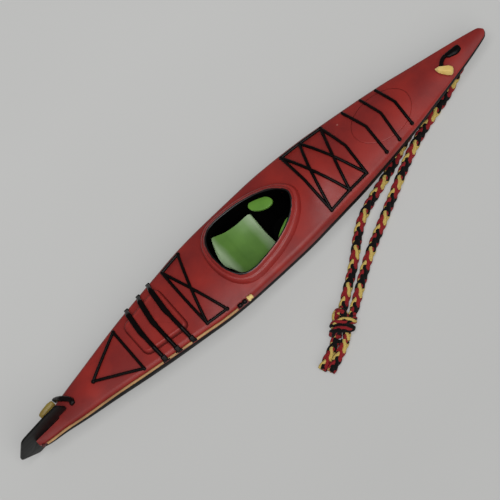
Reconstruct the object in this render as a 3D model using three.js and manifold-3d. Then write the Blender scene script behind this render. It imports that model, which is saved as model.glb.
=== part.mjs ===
// A small cast and painted sea kayak made as a hanging ornament, with its hanging cord.
// Millimetres, bow towards +X, port towards +Y, up +Z. The origin is on the flat strip under the hull,
// half way along it, so the kayak stands on the plane z = 0.
import * as THREE from "three";
import { mergeVertices } from "three/addons/utils/BufferGeometryUtils.js";
import Module from "manifold-3d";

const wasm = await Module();
wasm.setup();

// Driving sizes of the boat
const hullLength = 160;
const halfBeam = 12.7;
const seamHeight = 7.4;
const deckRise = 7.2;
const restHalfWidth = 3;
const shoulderRadius = 1.4;

// Clearances
const seatGap = 0.12;
const runningGap = 0.25;
const cutOverrun = 4;
const weldDistance = 0.0001;

// Cockpit
const cockpitLength = 25.4;
const cockpitHalfWidth = 8.6;
const coamingWidth = 2.5;
const coamingHeight = 2.2;
const wellWall = 1.4;
const wellHalfWidth = 9.6;
const wellAftReach = 1.1;
const footSpace = 9;
const wellClearance = 0.3;
const wellCeiling = 3.6;

// Seat and thigh braces
const seatLength = 13.2;
const seatHalfWidth = 7;
const seatInset = 1.4;
const seatHeight = 6.5;
const seatBackRise = 4.1;
const seatSideRise = 1.5;
const braceWidth = 5;
const braceThickness = 0.8;
const braceInner = 2.8;
const braceRise = 1.2;

// Hatches
const foreHatchLength = 18;
const foreHatchWidth = 13.2;
const foreHatchThickness = 1.2;
const hatchGroove = 0.22;
const aftHatchLength = 13;
const aftHatchFrontWidth = 14.2;
const aftHatchBackWidth = 10.4;
const aftHatchCorner = 1.6;
const aftHatchRise = 1.6;
const aftHatchTaper = 0.9;

// Deck lines and their fittings
const lineRadius = 0.42;
const lineStep = 2.1;
const knotRadius = 0.7;
const strapPadWidth = 1.6;
const strapPadThickness = 0.7;
const strapPadHalfLength = 3.9;
const strapPadPortShift = 1.9;
const strapRadius = 0.55;
const strapAnchorLength = 1.5;
const strapAnchorWidth = 1.6;
const strapAnchorHeight = 0.9;
const rudderLineRadius = 0.38;
const clipLength = 2.9;
const clipRadius = 0.62;
const lineKnobLength = 1.7;
const lineKnobRadius = 0.8;

// Carrying toggles at the ends
const sternToggleLength = 5.2;
const sternToggleRadius = 1.15;
const bowToggleLength = 4.9;
const bowToggleRadius = 1.35;
const toggleLineRadius = 0.5;
const bowAnchorLength = 4.8;
const bowAnchorWidth = 2.4;
const bowAnchorHeight = 0.8;
const bowToggleSpacing = 5;
const bowToggleAngle = 0.78;
const sternAnchorLength = 1.8;
const sternAnchorWidth = 1.4;
const sternAnchorHeight = 0.9;
const sternAnchorGap = 0.4;
const sternLineReach = 4;
const sternToggleGap = 0.2;
const sternToggleRise = 0.5;
const lineEndGap = 0.3;

// Rudder
const bladeThickness = 0.6;
const bladeLength = 18.6;
const bladeHeight = 13.2;
const bladeReach = 6.6;
const bladeDrop = 5.1;
const pinRadius = 0.35;
const pinInset = 0.8;
const pinHeight = 0.9;
const pinHeadRadius = 0.6;
const pinHeadThickness = 0.3;
const pinClearance = 0.12;

// Hanging cord
const cordDiameter = 2.65;
const cordSides = 8;
const cordStep = 6;
const socketClearance = 0.3;
const knotLength = 7.4;
const knotHalfWidth = 3.5;
const knotHalfHeight = 2.6;

// Counts
const stationCount = 44;
const coamingSteps = 40;
const lineSides = 6;
const sternGrabSteps = 12;
const rudderLineSteps = 22;
const hatchSteps = 32;
const tailCorners = 4;
const socketPoints = 5;
const socketSides = 12;

// Places along the boat: shares of its length from the stern.
const cockpitAftShare = 0.4206;
const foreHatchShare = 0.77875;
const aftHatchAftShare = 0.2325;
const clipShare = 0.4028;
const bowAnchorShare = 0.9365;
const rudderLineAftShare = 0.012;

// Lines of the boat: share of the length from the stern, then half beam as a share of halfBeam,
// keel height as a share of seamHeight, deck edge and deck ridge as shares of deckRise above
// seamHeight, and the seam itself, which rises a little between the ends, as a share of seamHeight.
const boatShares = [
  [0, 0.136, 0.685, 0.194, 0.264, 1.014],
  [0.004, 0.169, 0.632, 0.201, 0.267, 1.019],
  [0.0165, 0.211, 0.562, 0.222, 0.281, 1.038],
  [0.05, 0.267, 0.439, 0.271, 0.326, 1.084],
  [0.0775, 0.338, 0.369, 0.319, 0.375, 1.114],
  [0.1, 0.391, 0.316, 0.354, 0.424, 1.135],
  [0.132, 0.458, 0.246, 0.403, 0.486, 1.157],
  [0.165, 0.534, 0.184, 0.444, 0.521, 1.165],
  [0.198, 0.614, 0.132, 0.465, 0.535, 1.162],
  [0.231, 0.687, 0.088, 0.479, 0.539, 1.155],
  [0.264, 0.753, 0.048, 0.486, 0.542, 1.149],
  [0.3, 0.82, 0.018, 0.486, 0.549, 1.14],
  [0.33, 0.874, 0, 0.476, 0.604, 1.132],
  [0.362, 0.934, 0, 0.465, 0.722, 1.128],
  [0.395, 0.973, 0, 0.472, 0.757, 1.124],
  [0.43, 0.992, 0, 0.486, 0.75, 1.119],
  [0.494, 1, 0, 0.514, 0.722, 1.121],
  [0.53, 1, 0, 0.535, 0.722, 1.122],
  [0.56, 0.989, 0, 0.556, 0.743, 1.127],
  [0.59, 0.963, 0, 0.562, 0.826, 1.132],
  [0.615, 0.94, 0.004, 0.549, 0.958, 1.132],
  [0.64, 0.916, 0.013, 0.521, 0.972, 1.132],
  [0.667, 0.888, 0.031, 0.479, 0.854, 1.127],
  [0.69, 0.856, 0.057, 0.444, 0.701, 1.122],
  [0.725, 0.798, 0.114, 0.406, 0.604, 1.11],
  [0.758, 0.739, 0.176, 0.375, 0.562, 1.1],
  [0.79, 0.676, 0.264, 0.34, 0.521, 1.088],
  [0.824, 0.602, 0.338, 0.278, 0.465, 1.073],
  [0.857, 0.514, 0.395, 0.215, 0.389, 1.058],
  [0.89, 0.427, 0.444, 0.153, 0.312, 1.042],
  [0.923, 0.34, 0.492, 0.104, 0.236, 1.027],
  [0.9555, 0.247, 0.575, 0.076, 0.167, 1.015],
  [0.98, 0.169, 0.668, 0.062, 0.118, 1.008],
  [0.994, 0.115, 0.747, 0.056, 0.09, 1.004],
  [1, 0.071, 0.791, 0.049, 0.076, 1.003],
];
// Half section of the hull below the seam: share of the half beam amidships, share of the half beam
// where the ends are drawn to a vee, share of the depth.
const hullSectionShares = [
  [1, 1, 0],
  [0.985, 0.99, 0.2],
  [0.92, 0.95, 0.42],
  [0.79, 0.83, 0.63],
  [0.63, 0.6, 0.79],
  [0.44, 0.33, 0.91],
];
// Distance from the middle of the length at which the vee starts, and over which it grows.
const veeStartShare = 0.12;
const veeGrowthShare = 0.26;
// Flat strip under the keel: most of the half beam that it takes, and how much narrower the vee makes it.
const stripShare = 0.24;
const veeStripShare = 0.6;
// Places across the deck top, as shares of its half width, and the crown's power.
const deckTopShares = [0, 0.2, 0.4, 0.6, 0.78, 0.9, 1];
const crownPower = 1.8;
// Cockpit opening, half of its outline from aft to fore: share of its length, share of its half width.
const cockpitShares = [
  [0, 0],
  [0.012, 0.36],
  [0.047, 0.66],
  [0.09, 0.83],
  [0.15, 0.95],
  [0.245, 1],
  [0.37, 0.975],
  [0.495, 0.93],
  [0.6, 0.86],
  [0.734, 0.73],
  [0.85, 0.545],
  [0.94, 0.33],
  [1, 0],
];
// Coaming section: share of its width outwards, share of its height above the deck.
const coamingShares = [
  [0, 0],
  [0, 0.72],
  [0.12, 0.94],
  [0.34, 1],
  [0.6, 0.82],
  [0.84, 0.42],
  [1, 0],
];
// How far the blank ring reaches under the deck surface before it is cut to seat there.
const coamingFootShare = 0.2;
// Cockpit well below the deck, half of its outline from aft to fore.
const wellShares = [
  [0, 0],
  [0.01, 0.42],
  [0.05, 0.76],
  [0.13, 0.96],
  [0.25, 1],
  [0.5, 1],
  [0.66, 0.93],
  [0.82, 0.78],
  [0.94, 0.58],
  [1, 0.3],
  [1, 0],
];
// Well walls from the floor up: share of the seam height above the floor, share of the width.
const wellWallShares = [
  [0, 0.7],
  [0.16, 0.88],
  [0.42, 1],
];
// Seat: share of its length from aft, share of its half width, share of the back's rise.
const seatShares = [
  [0, 0.55, 1],
  [0.05, 0.8, 1],
  [0.1, 0.97, 0.98],
  [0.19, 1, 0.72],
  [0.3, 0.99, 0.46],
  [0.4, 0.985, 0.27],
  [0.64, 0.975, 0.05],
  [0.93, 0.985, -0.02],
  [1, 0.965, -0.06],
];
const seatAcrossShares = [-1, -0.85, -0.6, -0.3, 0, 0.3, 0.6, 0.85, 1];
// Stretch of the opening that a thigh brace takes, as shares of the opening's length.
const braceAftShare = 0.59;
const braceForeShare = 0.86;
// Thigh brace outline in plan: share of its length from aft, share of its width from the inner edge.
const braceShares = [
  [0.02, 1],
  [0, 0.72],
  [0.14, 0.3],
  [0.4, 0.04],
  [0.72, 0],
  [0.94, 0.2],
  [1, 0.6],
  [0.95, 1],
];
// Rudder blade in side view: share of its length from the aft tip, share of its height.
const bladeShares = [
  [0, 0.295],
  [0.269, 0],
  [0.452, 0.045],
  [0.5, 0.24],
  [0.585, 0.545],
  [0.985, 0.625],
  [1, 0.66],
  [0.925, 0.965],
  [0.9, 0.985],
  [0.645, 0.965],
  [0.215, 0.856],
];
// Toggle outline: share of its length, share of its radius.
const toggleShares = [
  [0, 0],
  [0, 0.62],
  [0.08, 0.8],
  [0.3, 0.98],
  [0.55, 1],
  [0.8, 0.92],
  [0.94, 0.78],
  [1, 0.6],
  [1, 0],
];

// Turned rudder line clip and knob: share of the length, share of the largest radius.
const clipShares = [
  [0, 0],
  [0, 0.8],
  [0.12, 1],
  [0.38, 1],
  [0.48, 0.72],
  [0.58, 0.72],
  [0.68, 1],
  [0.9, 1],
  [1, 0.8],
  [1, 0],
];
const lineKnobShares = [
  [0, 0],
  [0, 0.6],
  [0.2, 0.92],
  [0.5, 1],
  [0.8, 0.92],
  [1, 0.6],
  [1, 0],
];
// Line anchors in plan: share of the length from their middle, share of the width from their middle.
const bowAnchorShares = [
  [0.5, 0.54],
  [0.5, -0.18],
  [0.15, -0.38],
  [-0.35, -0.08],
  [-0.5, 0.22],
  [-0.42, 0.62],
  [0.05, 0.62],
];
const sternAnchorShares = [
  [0.5, 0.3],
  [0.3, -0.5],
  [-0.4, -0.5],
  [-0.5, 0.1],
  [0.1, 0.5],
];
// Stern grab line over the port shoulder: share of the anchor's length from it, share of the half beam.
const sternGrabLineShares = [
  [0, 0.24],
  [-0.35, 0.42],
  [-0.8, 0.62],
  [-1.2, 0.8],
];
// Places along the bow grab line, and how far along the toggle it meets it.
const bowGrabLineShares = [0, 0.25, 0.5, 0.75, 1];
const bowLineMeetShare = 0.2;
// Places across the hatch lid where a strap is carried, and along its pad with the pad's width there.
const strapAcrossShares = [-1, -0.8, -0.6, -0.4, -0.2, 0, 0.2, 0.4, 0.6, 0.8, 1];
const strapPadShares = [
  [-1, 0.66],
  [-0.88, 0.8],
  [-0.45, 0.92],
  [0, 1],
  [0.45, 1],
  [0.9, 1],
  [1, 0.72],
];
// Places round the deck's shoulder.
const shoulderShares = [1 / 3, 2 / 3, 1];
// Cord knot: share of its largest radius, share of its length from its middle.
const cordKnotShares = [
  [0, -0.5],
  [0.7, -0.5],
  [0.95, -0.3],
  [1, 0],
  [0.95, 0.3],
  [0.7, 0.5],
  [0, 0.5],
];
// Bow toggle: its middle across the starboard half, and the widest it may sit out.
const bowToggleAcrossShare = 0.5;
const bowToggleEdgeShare = 0.9;
// Seat's foot and side against the well, as shares of its half width, and the side's height.
const seatFootShare = 0.665;
const seatSideShare = 0.92;
const seatSideHeightShare = 0.256;

// Deck line stops, each in its stretch of deck: share of the stretch from its aft end, share of the
// local half beam with port positive. The fore lacing lies between the coaming and the first bungee, the
// aft lacing between the hatch lid and the coaming, and the stern line between its anchor and the lid.
const foreLacingStopShares = {
  portAft: [0.116, 0.835],
  portMid: [0.385, 0.825],
  portFore: [0.692, 0.84],
  ridgeAft: [0.14, -0.03],
  ridgeFore: [0.762, -0.02],
  starboardAft: [0.128, -0.905],
  starboardMid: [0.442, -0.87],
  starboardFore: [0.724, -0.875],
};
const aftLacingStopShares = {
  portFore: [0.715, 0.85],
  portAft: [0.277, 0.845],
  starboardFore: [0.715, -0.9],
  starboardAft: [0.277, -0.9],
};
const sternLineStopShares = {
  port: [0.865, 0.79],
  starboard: [0.859, -0.89],
  apex: [0.295, -0.03],
};
// Bungees over the fore hatch: share of the hatch's length, share of the local half beam.
const foreBungeeStopShares = [
  [
    [0.111, 0.85],
    [0.228, 0.01],
    [0.19, -0.89],
  ],
  [
    [0.431, 0.845],
    [0.52, 0.02],
    [0.452, -0.915],
  ],
  [
    [0.695, 0.83],
    [0.782, 0],
    [0.745, -0.88],
  ],
];
// Straps over the aft hatch: shares of the hatch's length at the port end, the ridge and the other end.
const strapStationShares = [
  { port: 0.93, ridge: 0.859, starboard: 0.88 },
  { port: 0.626, ridge: 0.515, starboard: 0.524 },
  { port: 0.262, ridge: 0.192, starboard: 0.201 },
];
// How far round the shoulder the rudder line, its fittings and the strap anchors sit.
const lineRoundShare = 0.75;
const fittingRoundShare = 0.5;
const anchorRoundShare = 0.4;

// Cord routes in millimetres, chosen point by point along the photographed legs
const foreLegRoute = [
  [71.2, -0.9, 4.55],
  [69.4, -1.45, 4.15],
  [67.2, -2.1, 3.45],
  [65, -2.8, 2.66],
  [62.4, -3.55, 1.86],
  [59.2, -4.4, 1.42],
  [55.4, -5.3, 1.37],
  [51.4, -6.35, 1.37],
  [47.4, -7.7, 1.37],
  [43.4, -9.35, 1.37],
  [39.4, -11.3, 1.37],
  [35.4, -13.4, 1.37],
  [31, -15.7, 1.37],
  [26.2, -18.2, 1.37],
  [21.2, -20.8, 1.37],
  [16.2, -23.6, 1.37],
  [11.4, -26.8, 1.37],
  [7.4, -29.6, 1.37],
  [4.2, -31.85, 1.37],
];
const aftLegRoute = [
  [66.1, 1.05, 4.15],
  [63.9, 0.35, 3.5],
  [61.6, -0.35, 2.78],
  [59.3, -1.05, 2.06],
  [56.7, -1.75, 1.52],
  [53.6, -2.55, 1.37],
  [49.8, -3.6, 1.37],
  [46, -4.95, 1.37],
  [42.4, -6.4, 1.37],
  [38.8, -7.9, 1.37],
  [34.8, -9.35, 1.37],
  [30.6, -10.65, 1.37],
  [26.4, -12, 1.37],
  [22.4, -13.8, 1.37],
  [18.8, -16.4, 1.37],
  [15.2, -19.6, 1.37],
  [11.6, -22.6, 1.37],
  [7.2, -25.8, 1.37],
  [2.5, -29.3, 1.37],
];
const tailRoutes = [
  [
    [-4.1, -33.9, 1.37],
    [-5.8, -34.9, 1.37],
    [-7.9, -35.9, 1.37],
    [-10, -36.8, 1.37],
    [-12, -37.6, 1.37],
  ],
  [
    [-2.26, -36.53, 1.37],
    [-3.96, -37.53, 1.37],
    [-6.1, -38.5, 1.37],
    [-8.3, -39.4, 1.37],
    [-10.4, -40.2, 1.37],
  ],
];

// Helpers for solids
function toSolid(geometry) {
  const bare = geometry.clone();
  bare.deleteAttribute("normal");
  bare.deleteAttribute("uv");
  const merged = mergeVertices(bare, weldDistance);
  const triVerts = new Uint32Array(merged.index.array);
  const vertProperties = new Float32Array(merged.attributes.position.array);
  const made = new wasm.Manifold(new wasm.Mesh({ numProp: 3, vertProperties, triVerts }));
  if (made.volume() > 0) return made;
  for (let i = 0; i < triVerts.length; i += 3) {
    const first = triVerts[i];
    triVerts[i] = triVerts[i + 1];
    triVerts[i + 1] = first;
  }
  return new wasm.Manifold(new wasm.Mesh({ numProp: 3, vertProperties, triVerts }));
}

function toGeometry(solid) {
  const shape = solid.getMesh();
  const points = new Float32Array(shape.numVert * 3);
  for (let i = 0; i < shape.numVert; i += 1) {
    points.set(shape.vertProperties.subarray(i * shape.numProp, i * shape.numProp + 3), i * 3);
  }
  const geometry = new THREE.BufferGeometry();
  geometry.setAttribute("position", new THREE.BufferAttribute(points, 3));
  geometry.setIndex(new THREE.BufferAttribute(shape.triVerts, 1));
  geometry.computeVertexNormals();
  return geometry;
}

// Skin over rings that all have the same number of points, closed at both ends by a fan.
function loft(rings) {
  const count = rings[0].length;
  const points = rings.flat();
  const faces = [];
  for (let i = 0; i < rings.length - 1; i += 1) {
    for (let j = 0; j < count; j += 1) {
      const next = (j + 1) % count;
      const a = i * count + j;
      const b = i * count + next;
      faces.push(a, b, b + count, a, b + count, a + count);
    }
  }
  [0, rings.length - 1].forEach((end) => {
    const centre = points.length;
    const middle = new THREE.Vector3();
    rings[end].forEach((point) => middle.addScaledVector(point, 1 / count));
    points.push(middle);
    for (let j = 0; j < count; j += 1) {
      const a = end * count + j;
      const b = end * count + ((j + 1) % count);
      if (end === 0) faces.push(centre, b, a);
      else faces.push(centre, a, b);
    }
  });
  const geometry = new THREE.BufferGeometry().setFromPoints(points);
  geometry.setIndex(faces);
  return geometry;
}

// Skin over rings that follow one another round a closed path.
function closedLoft(rings) {
  const count = rings[0].length;
  const faces = [];
  rings.forEach((_, i) => {
    const onward = (i + 1) % rings.length;
    for (let j = 0; j < count; j += 1) {
      const next = (j + 1) % count;
      faces.push(i * count + j, i * count + next, onward * count + next);
      faces.push(i * count + j, onward * count + next, onward * count + j);
    }
  });
  const geometry = new THREE.BufferGeometry().setFromPoints(rings.flat());
  geometry.setIndex(faces);
  return geometry;
}

// Round bar along points.
function bar(points, radius, sides, steps) {
  const section = new THREE.Shape();
  section.absarc(0, 0, radius, 0, Math.PI * 2);
  const path = new THREE.CatmullRomCurve3(points, false, "centripetal");
  return new THREE.ExtrudeGeometry(section, {
    steps: steps ?? points.length - 1,
    curveSegments: sides / 2,
    extrudePath: path,
  });
}

// Upright prism over a plan outline.
function prism(outline, bottom, top) {
  const geometry = new THREE.ExtrudeGeometry(new THREE.Shape(outline), {
    depth: top - bottom,
    bevelEnabled: false,
  });
  return geometry.translate(0, 0, bottom);
}

// Closed plan outline from half an outline in shares, mirrored about the centre line.
function mirroredOutline(shares, aft, length, halfWidth, steps) {
  const half = shares.map(
    ([along, across]) => new THREE.Vector3(aft + along * length, across * halfWidth, 0),
  );
  const mirror = half.slice(1, -1).reverse();
  const round = half.concat(mirror.map((point) => new THREE.Vector3(point.x, -point.y, 0)));
  const curve = new THREE.CatmullRomCurve3(round, true, "centripetal");
  return curve.getSpacedPoints(steps).slice(0, steps);
}

// Turns a solid's local Z axis to a direction and moves it to a place.
function aimed(geometry, place, direction) {
  const turn = new THREE.Quaternion().setFromUnitVectors(
    new THREE.Vector3(0, 0, 1),
    direction.clone().normalize(),
  );
  return geometry.applyQuaternion(turn).translate(place.x, place.y, place.z);
}

// Lines of the boat
const sternEnd = -hullLength / 2;

// Smooth value from a column of the boat's table, with no overshoot between rows.
function boatShare(column, along) {
  const rows = boatShares;
  const last = rows.length - 1;
  const place = Math.min(Math.max(along, rows[0][0]), rows[last][0]);
  let i = 0;
  while (i < last - 1 && rows[i + 1][0] < place) i += 1;
  const slope = (k) => (rows[k + 1][column] - rows[k][column]) / (rows[k + 1][0] - rows[k][0]);
  const tangent = (k) => {
    if (k === 0) return slope(0);
    if (k === last) return slope(last - 1);
    const before = slope(k - 1);
    const after = slope(k);
    if (before * after <= 0) return 0;
    return (2 * before * after) / (before + after);
  };
  const width = rows[i + 1][0] - rows[i][0];
  const t = (place - rows[i][0]) / width;
  const t2 = t * t;
  const t3 = t2 * t;
  return (
    (2 * t3 - 3 * t2 + 1) * rows[i][column] +
    (t3 - 2 * t2 + t) * width * tangent(i) +
    (3 * t2 - 2 * t3) * rows[i + 1][column] +
    (t3 - t2) * width * tangent(i + 1)
  );
}

// Deck section at a place along the boat.
function deckAt(x) {
  const along = (x - sternEnd) / hullLength;
  const beam = boatShare(1, along) * halfBeam;
  const edge = boatShare(3, along) * deckRise;
  const ridge = boatShare(4, along) * deckRise;
  const radius = Math.min(shoulderRadius, beam * 0.3, edge * 0.6);
  const lean = Math.atan(((ridge - edge) * crownPower) / (beam - radius / 2));
  const topHalf = beam - radius * (1 - Math.sin(lean));
  return { beam, edge, ridge, radius, lean, topHalf };
}

// Height of the deck top above the floor.
function deckHeight(x, y) {
  const { edge, ridge, radius, lean, topHalf } = deckAt(x);
  const out = Math.abs(y);
  if (out <= topHalf) return seamHeight + edge + (ridge - edge) * (1 - (out / topHalf) ** crownPower);
  const arcCentre = topHalf - radius * Math.sin(lean);
  const fall = radius * Math.cos(lean) - Math.sqrt(Math.max(radius ** 2 - (out - arcCentre) ** 2, 0));
  return seamHeight + edge - fall;
}

// Point above the deck by a lift along its normal.
function aboveDeck(x, y, lift) {
  const probe = shoulderRadius / 20;
  const slopeX = (deckHeight(x + probe, y) - deckHeight(x - probe, y)) / (2 * probe);
  const slopeY = (deckHeight(x, y + probe) - deckHeight(x, y - probe)) / (2 * probe);
  const normal = new THREE.Vector3(-slopeX, -slopeY, 1).normalize();
  return new THREE.Vector3(x, y, deckHeight(x, y)).addScaledVector(normal, lift);
}

// Point on the rounded shoulder, at a share of the way from deck top to side wall, and its normal.
function onShoulder(x, side, roundShare, lift) {
  const { edge, radius, lean, topHalf } = deckAt(x);
  const angle = lean + (Math.PI / 2 - lean) * roundShare;
  const normal = new THREE.Vector3(0, side * Math.sin(angle), Math.cos(angle));
  const centre = new THREE.Vector3(
    x,
    side * (topHalf - radius * Math.sin(lean)),
    seamHeight + edge - radius * Math.cos(lean),
  );
  return { point: centre.addScaledVector(normal, radius + lift), normal };
}

// Height of the seam between hull and deck.
function seamAt(x) {
  return boatShare(5, (x - sternEnd) / hullLength) * seamHeight;
}

function stationX(share) {
  return sternEnd + share * hullLength;
}

const stations = [];
for (let i = 0; i <= stationCount; i += 1) {
  stations.push(stationX((1 - Math.cos((Math.PI * i) / stationCount)) / 2));
}

// Hull: the lower moulding from the seam down to the flat strip that it rests on.
function hullRing(x) {
  const along = (x - sternEnd) / hullLength;
  const beam = boatShare(1, along) * halfBeam;
  const keel = boatShare(2, along) * seamHeight;
  const seam = seamAt(x);
  const depth = seam - keel;
  const vee = Math.min(Math.max((Math.abs(along - 1 / 2) - veeStartShare) / veeGrowthShare, 0), 1);
  const stripHalf = Math.min(restHalfWidth, beam * stripShare) * (1 - vee * veeStripShare);
  const port = hullSectionShares.map(([full, drawn, down]) => {
    const out = full + (drawn - full) * vee;
    return new THREE.Vector3(x, out * beam, seam - down * depth);
  });
  port.push(new THREE.Vector3(x, stripHalf, keel));
  const starboard = port.map((point) => new THREE.Vector3(x, -point.y, point.z)).reverse();
  return port.concat(starboard);
}

// Deck: the upper moulding, with a rounded shoulder over a low side wall.
function deckRing(x) {
  const { beam, edge, radius, lean, topHalf } = deckAt(x);
  const port = deckTopShares.map((share) => {
    const y = share * topHalf;
    return new THREE.Vector3(x, y, deckHeight(x, y));
  });
  shoulderShares.forEach((roundShare) => {
    port.push(onShoulder(x, 1, roundShare, 0).point);
  });
  port.push(new THREE.Vector3(x, beam, seamAt(x)));
  const starboard = port
    .slice(1)
    .map((point) => new THREE.Vector3(x, -point.y, point.z))
    .reverse();
  return port.concat(starboard);
}

const deckBlank = loft(stations.map(deckRing));
const highest = seamHeight + deckRise + cutOverrun;

// The deck's own surface moved up or down, for cutting what lies on it.
function deckMoved(rise) {
  return toSolid(deckBlank.clone().translate(0, 0, rise));
}

const deckUnderSeats = deckMoved(seatGap);

// Removes from a fitting whatever would be inside the deck or closer to it than the seat gap.
function seated(solid) {
  return solid.subtract(deckUnderSeats);
}

// Cockpit opening and well
const cockpitStart = stationX(cockpitAftShare);
const cockpitEnd = cockpitStart + cockpitLength;
const cockpitOutline = mirroredOutline(
  cockpitShares,
  cockpitStart,
  cockpitLength,
  cockpitHalfWidth,
  coamingSteps,
);
const openingCut = toSolid(prism(cockpitOutline, seamHeight, highest));
const wellStart = cockpitStart - wellAftReach;
const wellLength = wellAftReach + cockpitLength + footSpace;
const wellTop = seamHeight + wellCeiling;

// The well, drawn in by an inset for what stands inside it.
function wellRing(widthShare, height, inset) {
  const half = wellHalfWidth * widthShare - inset;
  const length = wellLength - inset * 2;
  const outline = mirroredOutline(wellShares, wellStart + inset, length, half, coamingSteps);
  return outline.map((point) => new THREE.Vector3(point.x, point.y, height));
}

function wellSolid(inset) {
  const rings = wellWallShares.map(([up, wide]) =>
    wellRing(wide, wellWall + up * (seamHeight - wellWall), inset),
  );
  return toSolid(loft(rings.concat([wellRing(1, wellTop, inset)])));
}

const wellCut = wellSolid(0);
const insideWell = wellSolid(wellClearance);

// Slot in the stern for the rudder blade
const pinX = sternEnd + pinInset;
const pinZ = seamHeight + pinHeight;
const bladeAft = sternEnd - bladeReach;
const bladeBottom = seamHeight - bladeDrop;
const slotHalf = bladeThickness / 2 + runningGap;
const bladeReaches = bladeShares.map(([along, up]) => {
  const x = bladeAft + along * bladeLength;
  return Math.hypot(x - pinX, bladeBottom + up * bladeHeight - pinZ);
});
const tailRadius = Math.max(...bladeReaches.slice(0, tailCorners));
const bladeSweep = Math.max(...bladeReaches);
const slotEnd = pinX + tailRadius + runningGap;

function sternSlot() {
  const length = slotEnd - sternEnd + cutOverrun;
  const height = highest + cutOverrun;
  const box = new THREE.BoxGeometry(length, slotHalf * 2, height);
  return toSolid(box.translate(slotEnd - length / 2, 0, height / 2 - cutOverrun));
}

function crossPin(radius, length) {
  return new THREE.CylinderGeometry(radius, radius, length, 12).translate(pinX, 0, pinZ);
}

const slotCut = sternSlot();
const pinHoleCut = toSolid(crossPin(pinRadius + pinClearance, halfBeam));

function cordPoints(route) {
  return route.map((point) => new THREE.Vector3(...point));
}

// Sockets in the bow, each along the first stretch of its leg and a little deeper.
function socketCut(route) {
  const points = cordPoints(route.slice(0, socketPoints));
  const inward = points[0].clone().sub(points[1]).normalize();
  const deepest = points[0].clone().addScaledVector(inward, lineEndGap);
  const groove = bar([deepest].concat(points), cordDiameter / 2 + socketClearance, socketSides);
  return toSolid(groove);
}

function makeHull() {
  return toSolid(loft(stations.map(hullRing)))
    .subtract(wellCut)
    .subtract(slotCut)
    .subtract(socketCut(foreLegRoute))
    .subtract(socketCut(aftLegRoute));
}

// Fore hatch: an oval cover let into the deck, so that only its joint line shows.
const foreHatchX = stationX(foreHatchShare);
const foreHatchStart = foreHatchX - foreHatchLength / 2;

function foreHatchPrism(growth) {
  const outline = new THREE.EllipseCurve(
    foreHatchX,
    0,
    foreHatchLength / 2 + growth,
    foreHatchWidth / 2 + growth,
    0,
    Math.PI * 2,
  );
  return toSolid(prism(outline.getPoints(hatchSteps).slice(0, hatchSteps), seamHeight, highest));
}

const foreHatchRecess = foreHatchPrism(hatchGroove).subtract(deckMoved(-foreHatchThickness));

function makeForeHatchCover() {
  return toSolid(deckBlank)
    .intersect(foreHatchPrism(0))
    .subtract(deckMoved(seatGap - foreHatchThickness));
}

// Aft hatch: a raised lid with tapered edges that follows the crown of the deck.
const aftHatchStart = stationX(aftHatchAftShare);
const aftHatchEnd = aftHatchStart + aftHatchLength;

function aftHatchRing(growth, height) {
  const shape = new THREE.Shape();
  const back = aftHatchBackWidth / 2 + growth;
  const front = aftHatchFrontWidth / 2 + growth;
  const start = aftHatchStart - growth;
  const end = aftHatchEnd + growth;
  const corner = aftHatchCorner + growth;
  shape.moveTo(start, 0);
  shape.lineTo(start, back - corner);
  shape.quadraticCurveTo(start, back, start + corner, back);
  shape.lineTo(end - corner, front);
  shape.quadraticCurveTo(end, front, end, front - corner);
  shape.lineTo(end, corner - front);
  shape.quadraticCurveTo(end, -front, end - corner, -front);
  shape.lineTo(start + corner, -back);
  shape.quadraticCurveTo(start, -back, start, corner - back);
  const points = shape.getPoints(3);
  return points.map((point) => new THREE.Vector3(point.x, point.y, height));
}

function makeAftHatchCover() {
  const skirt = aftHatchRing(aftHatchTaper, seamHeight);
  const upper = aftHatchRing(-aftHatchTaper / 2, highest);
  return seated(toSolid(loft([skirt, upper]))).intersect(deckMoved(aftHatchRise));
}

function makeDeck() {
  return toSolid(deckBlank)
    .subtract(wellCut)
    .subtract(openingCut)
    .subtract(foreHatchRecess)
    .subtract(slotCut)
    .subtract(pinHoleCut);
}

// Coaming: a rounded ring that follows the deck round the cockpit.
function makeCoaming() {
  const rings = cockpitOutline.map((point, i) => {
    const before = cockpitOutline[(i + coamingSteps - 1) % coamingSteps];
    const after = cockpitOutline[(i + 1) % coamingSteps];
    const along = after.clone().sub(before).normalize();
    const outward = new THREE.Vector3(along.y, -along.x, 0);
    const fromCentre = point.clone().sub(new THREE.Vector3(cockpitStart + cockpitLength / 2, 0, 0));
    if (outward.dot(fromCentre) < 0) outward.negate();
    return coamingShares.map(([out, up]) => {
      const place = point.clone().addScaledVector(outward, out * coamingWidth);
      const rise = seatGap + (up > 0 ? up : -coamingFootShare) * coamingHeight;
      return new THREE.Vector3(place.x, place.y, deckHeight(place.x, place.y) + rise);
    });
  });
  return seated(toSolid(closedLoft(rings)));
}

// Room for the seat: inside the well, and through the opening above it.
const insideOpening = toSolid(
  prism(
    mirroredOutline(
      cockpitShares,
      cockpitStart + wellClearance,
      cockpitLength - wellClearance * 2,
      cockpitHalfWidth - wellClearance,
      coamingSteps,
    ),
    seamHeight,
    highest,
  ),
);
const seatSpace = insideWell.add(insideOpening);

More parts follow.
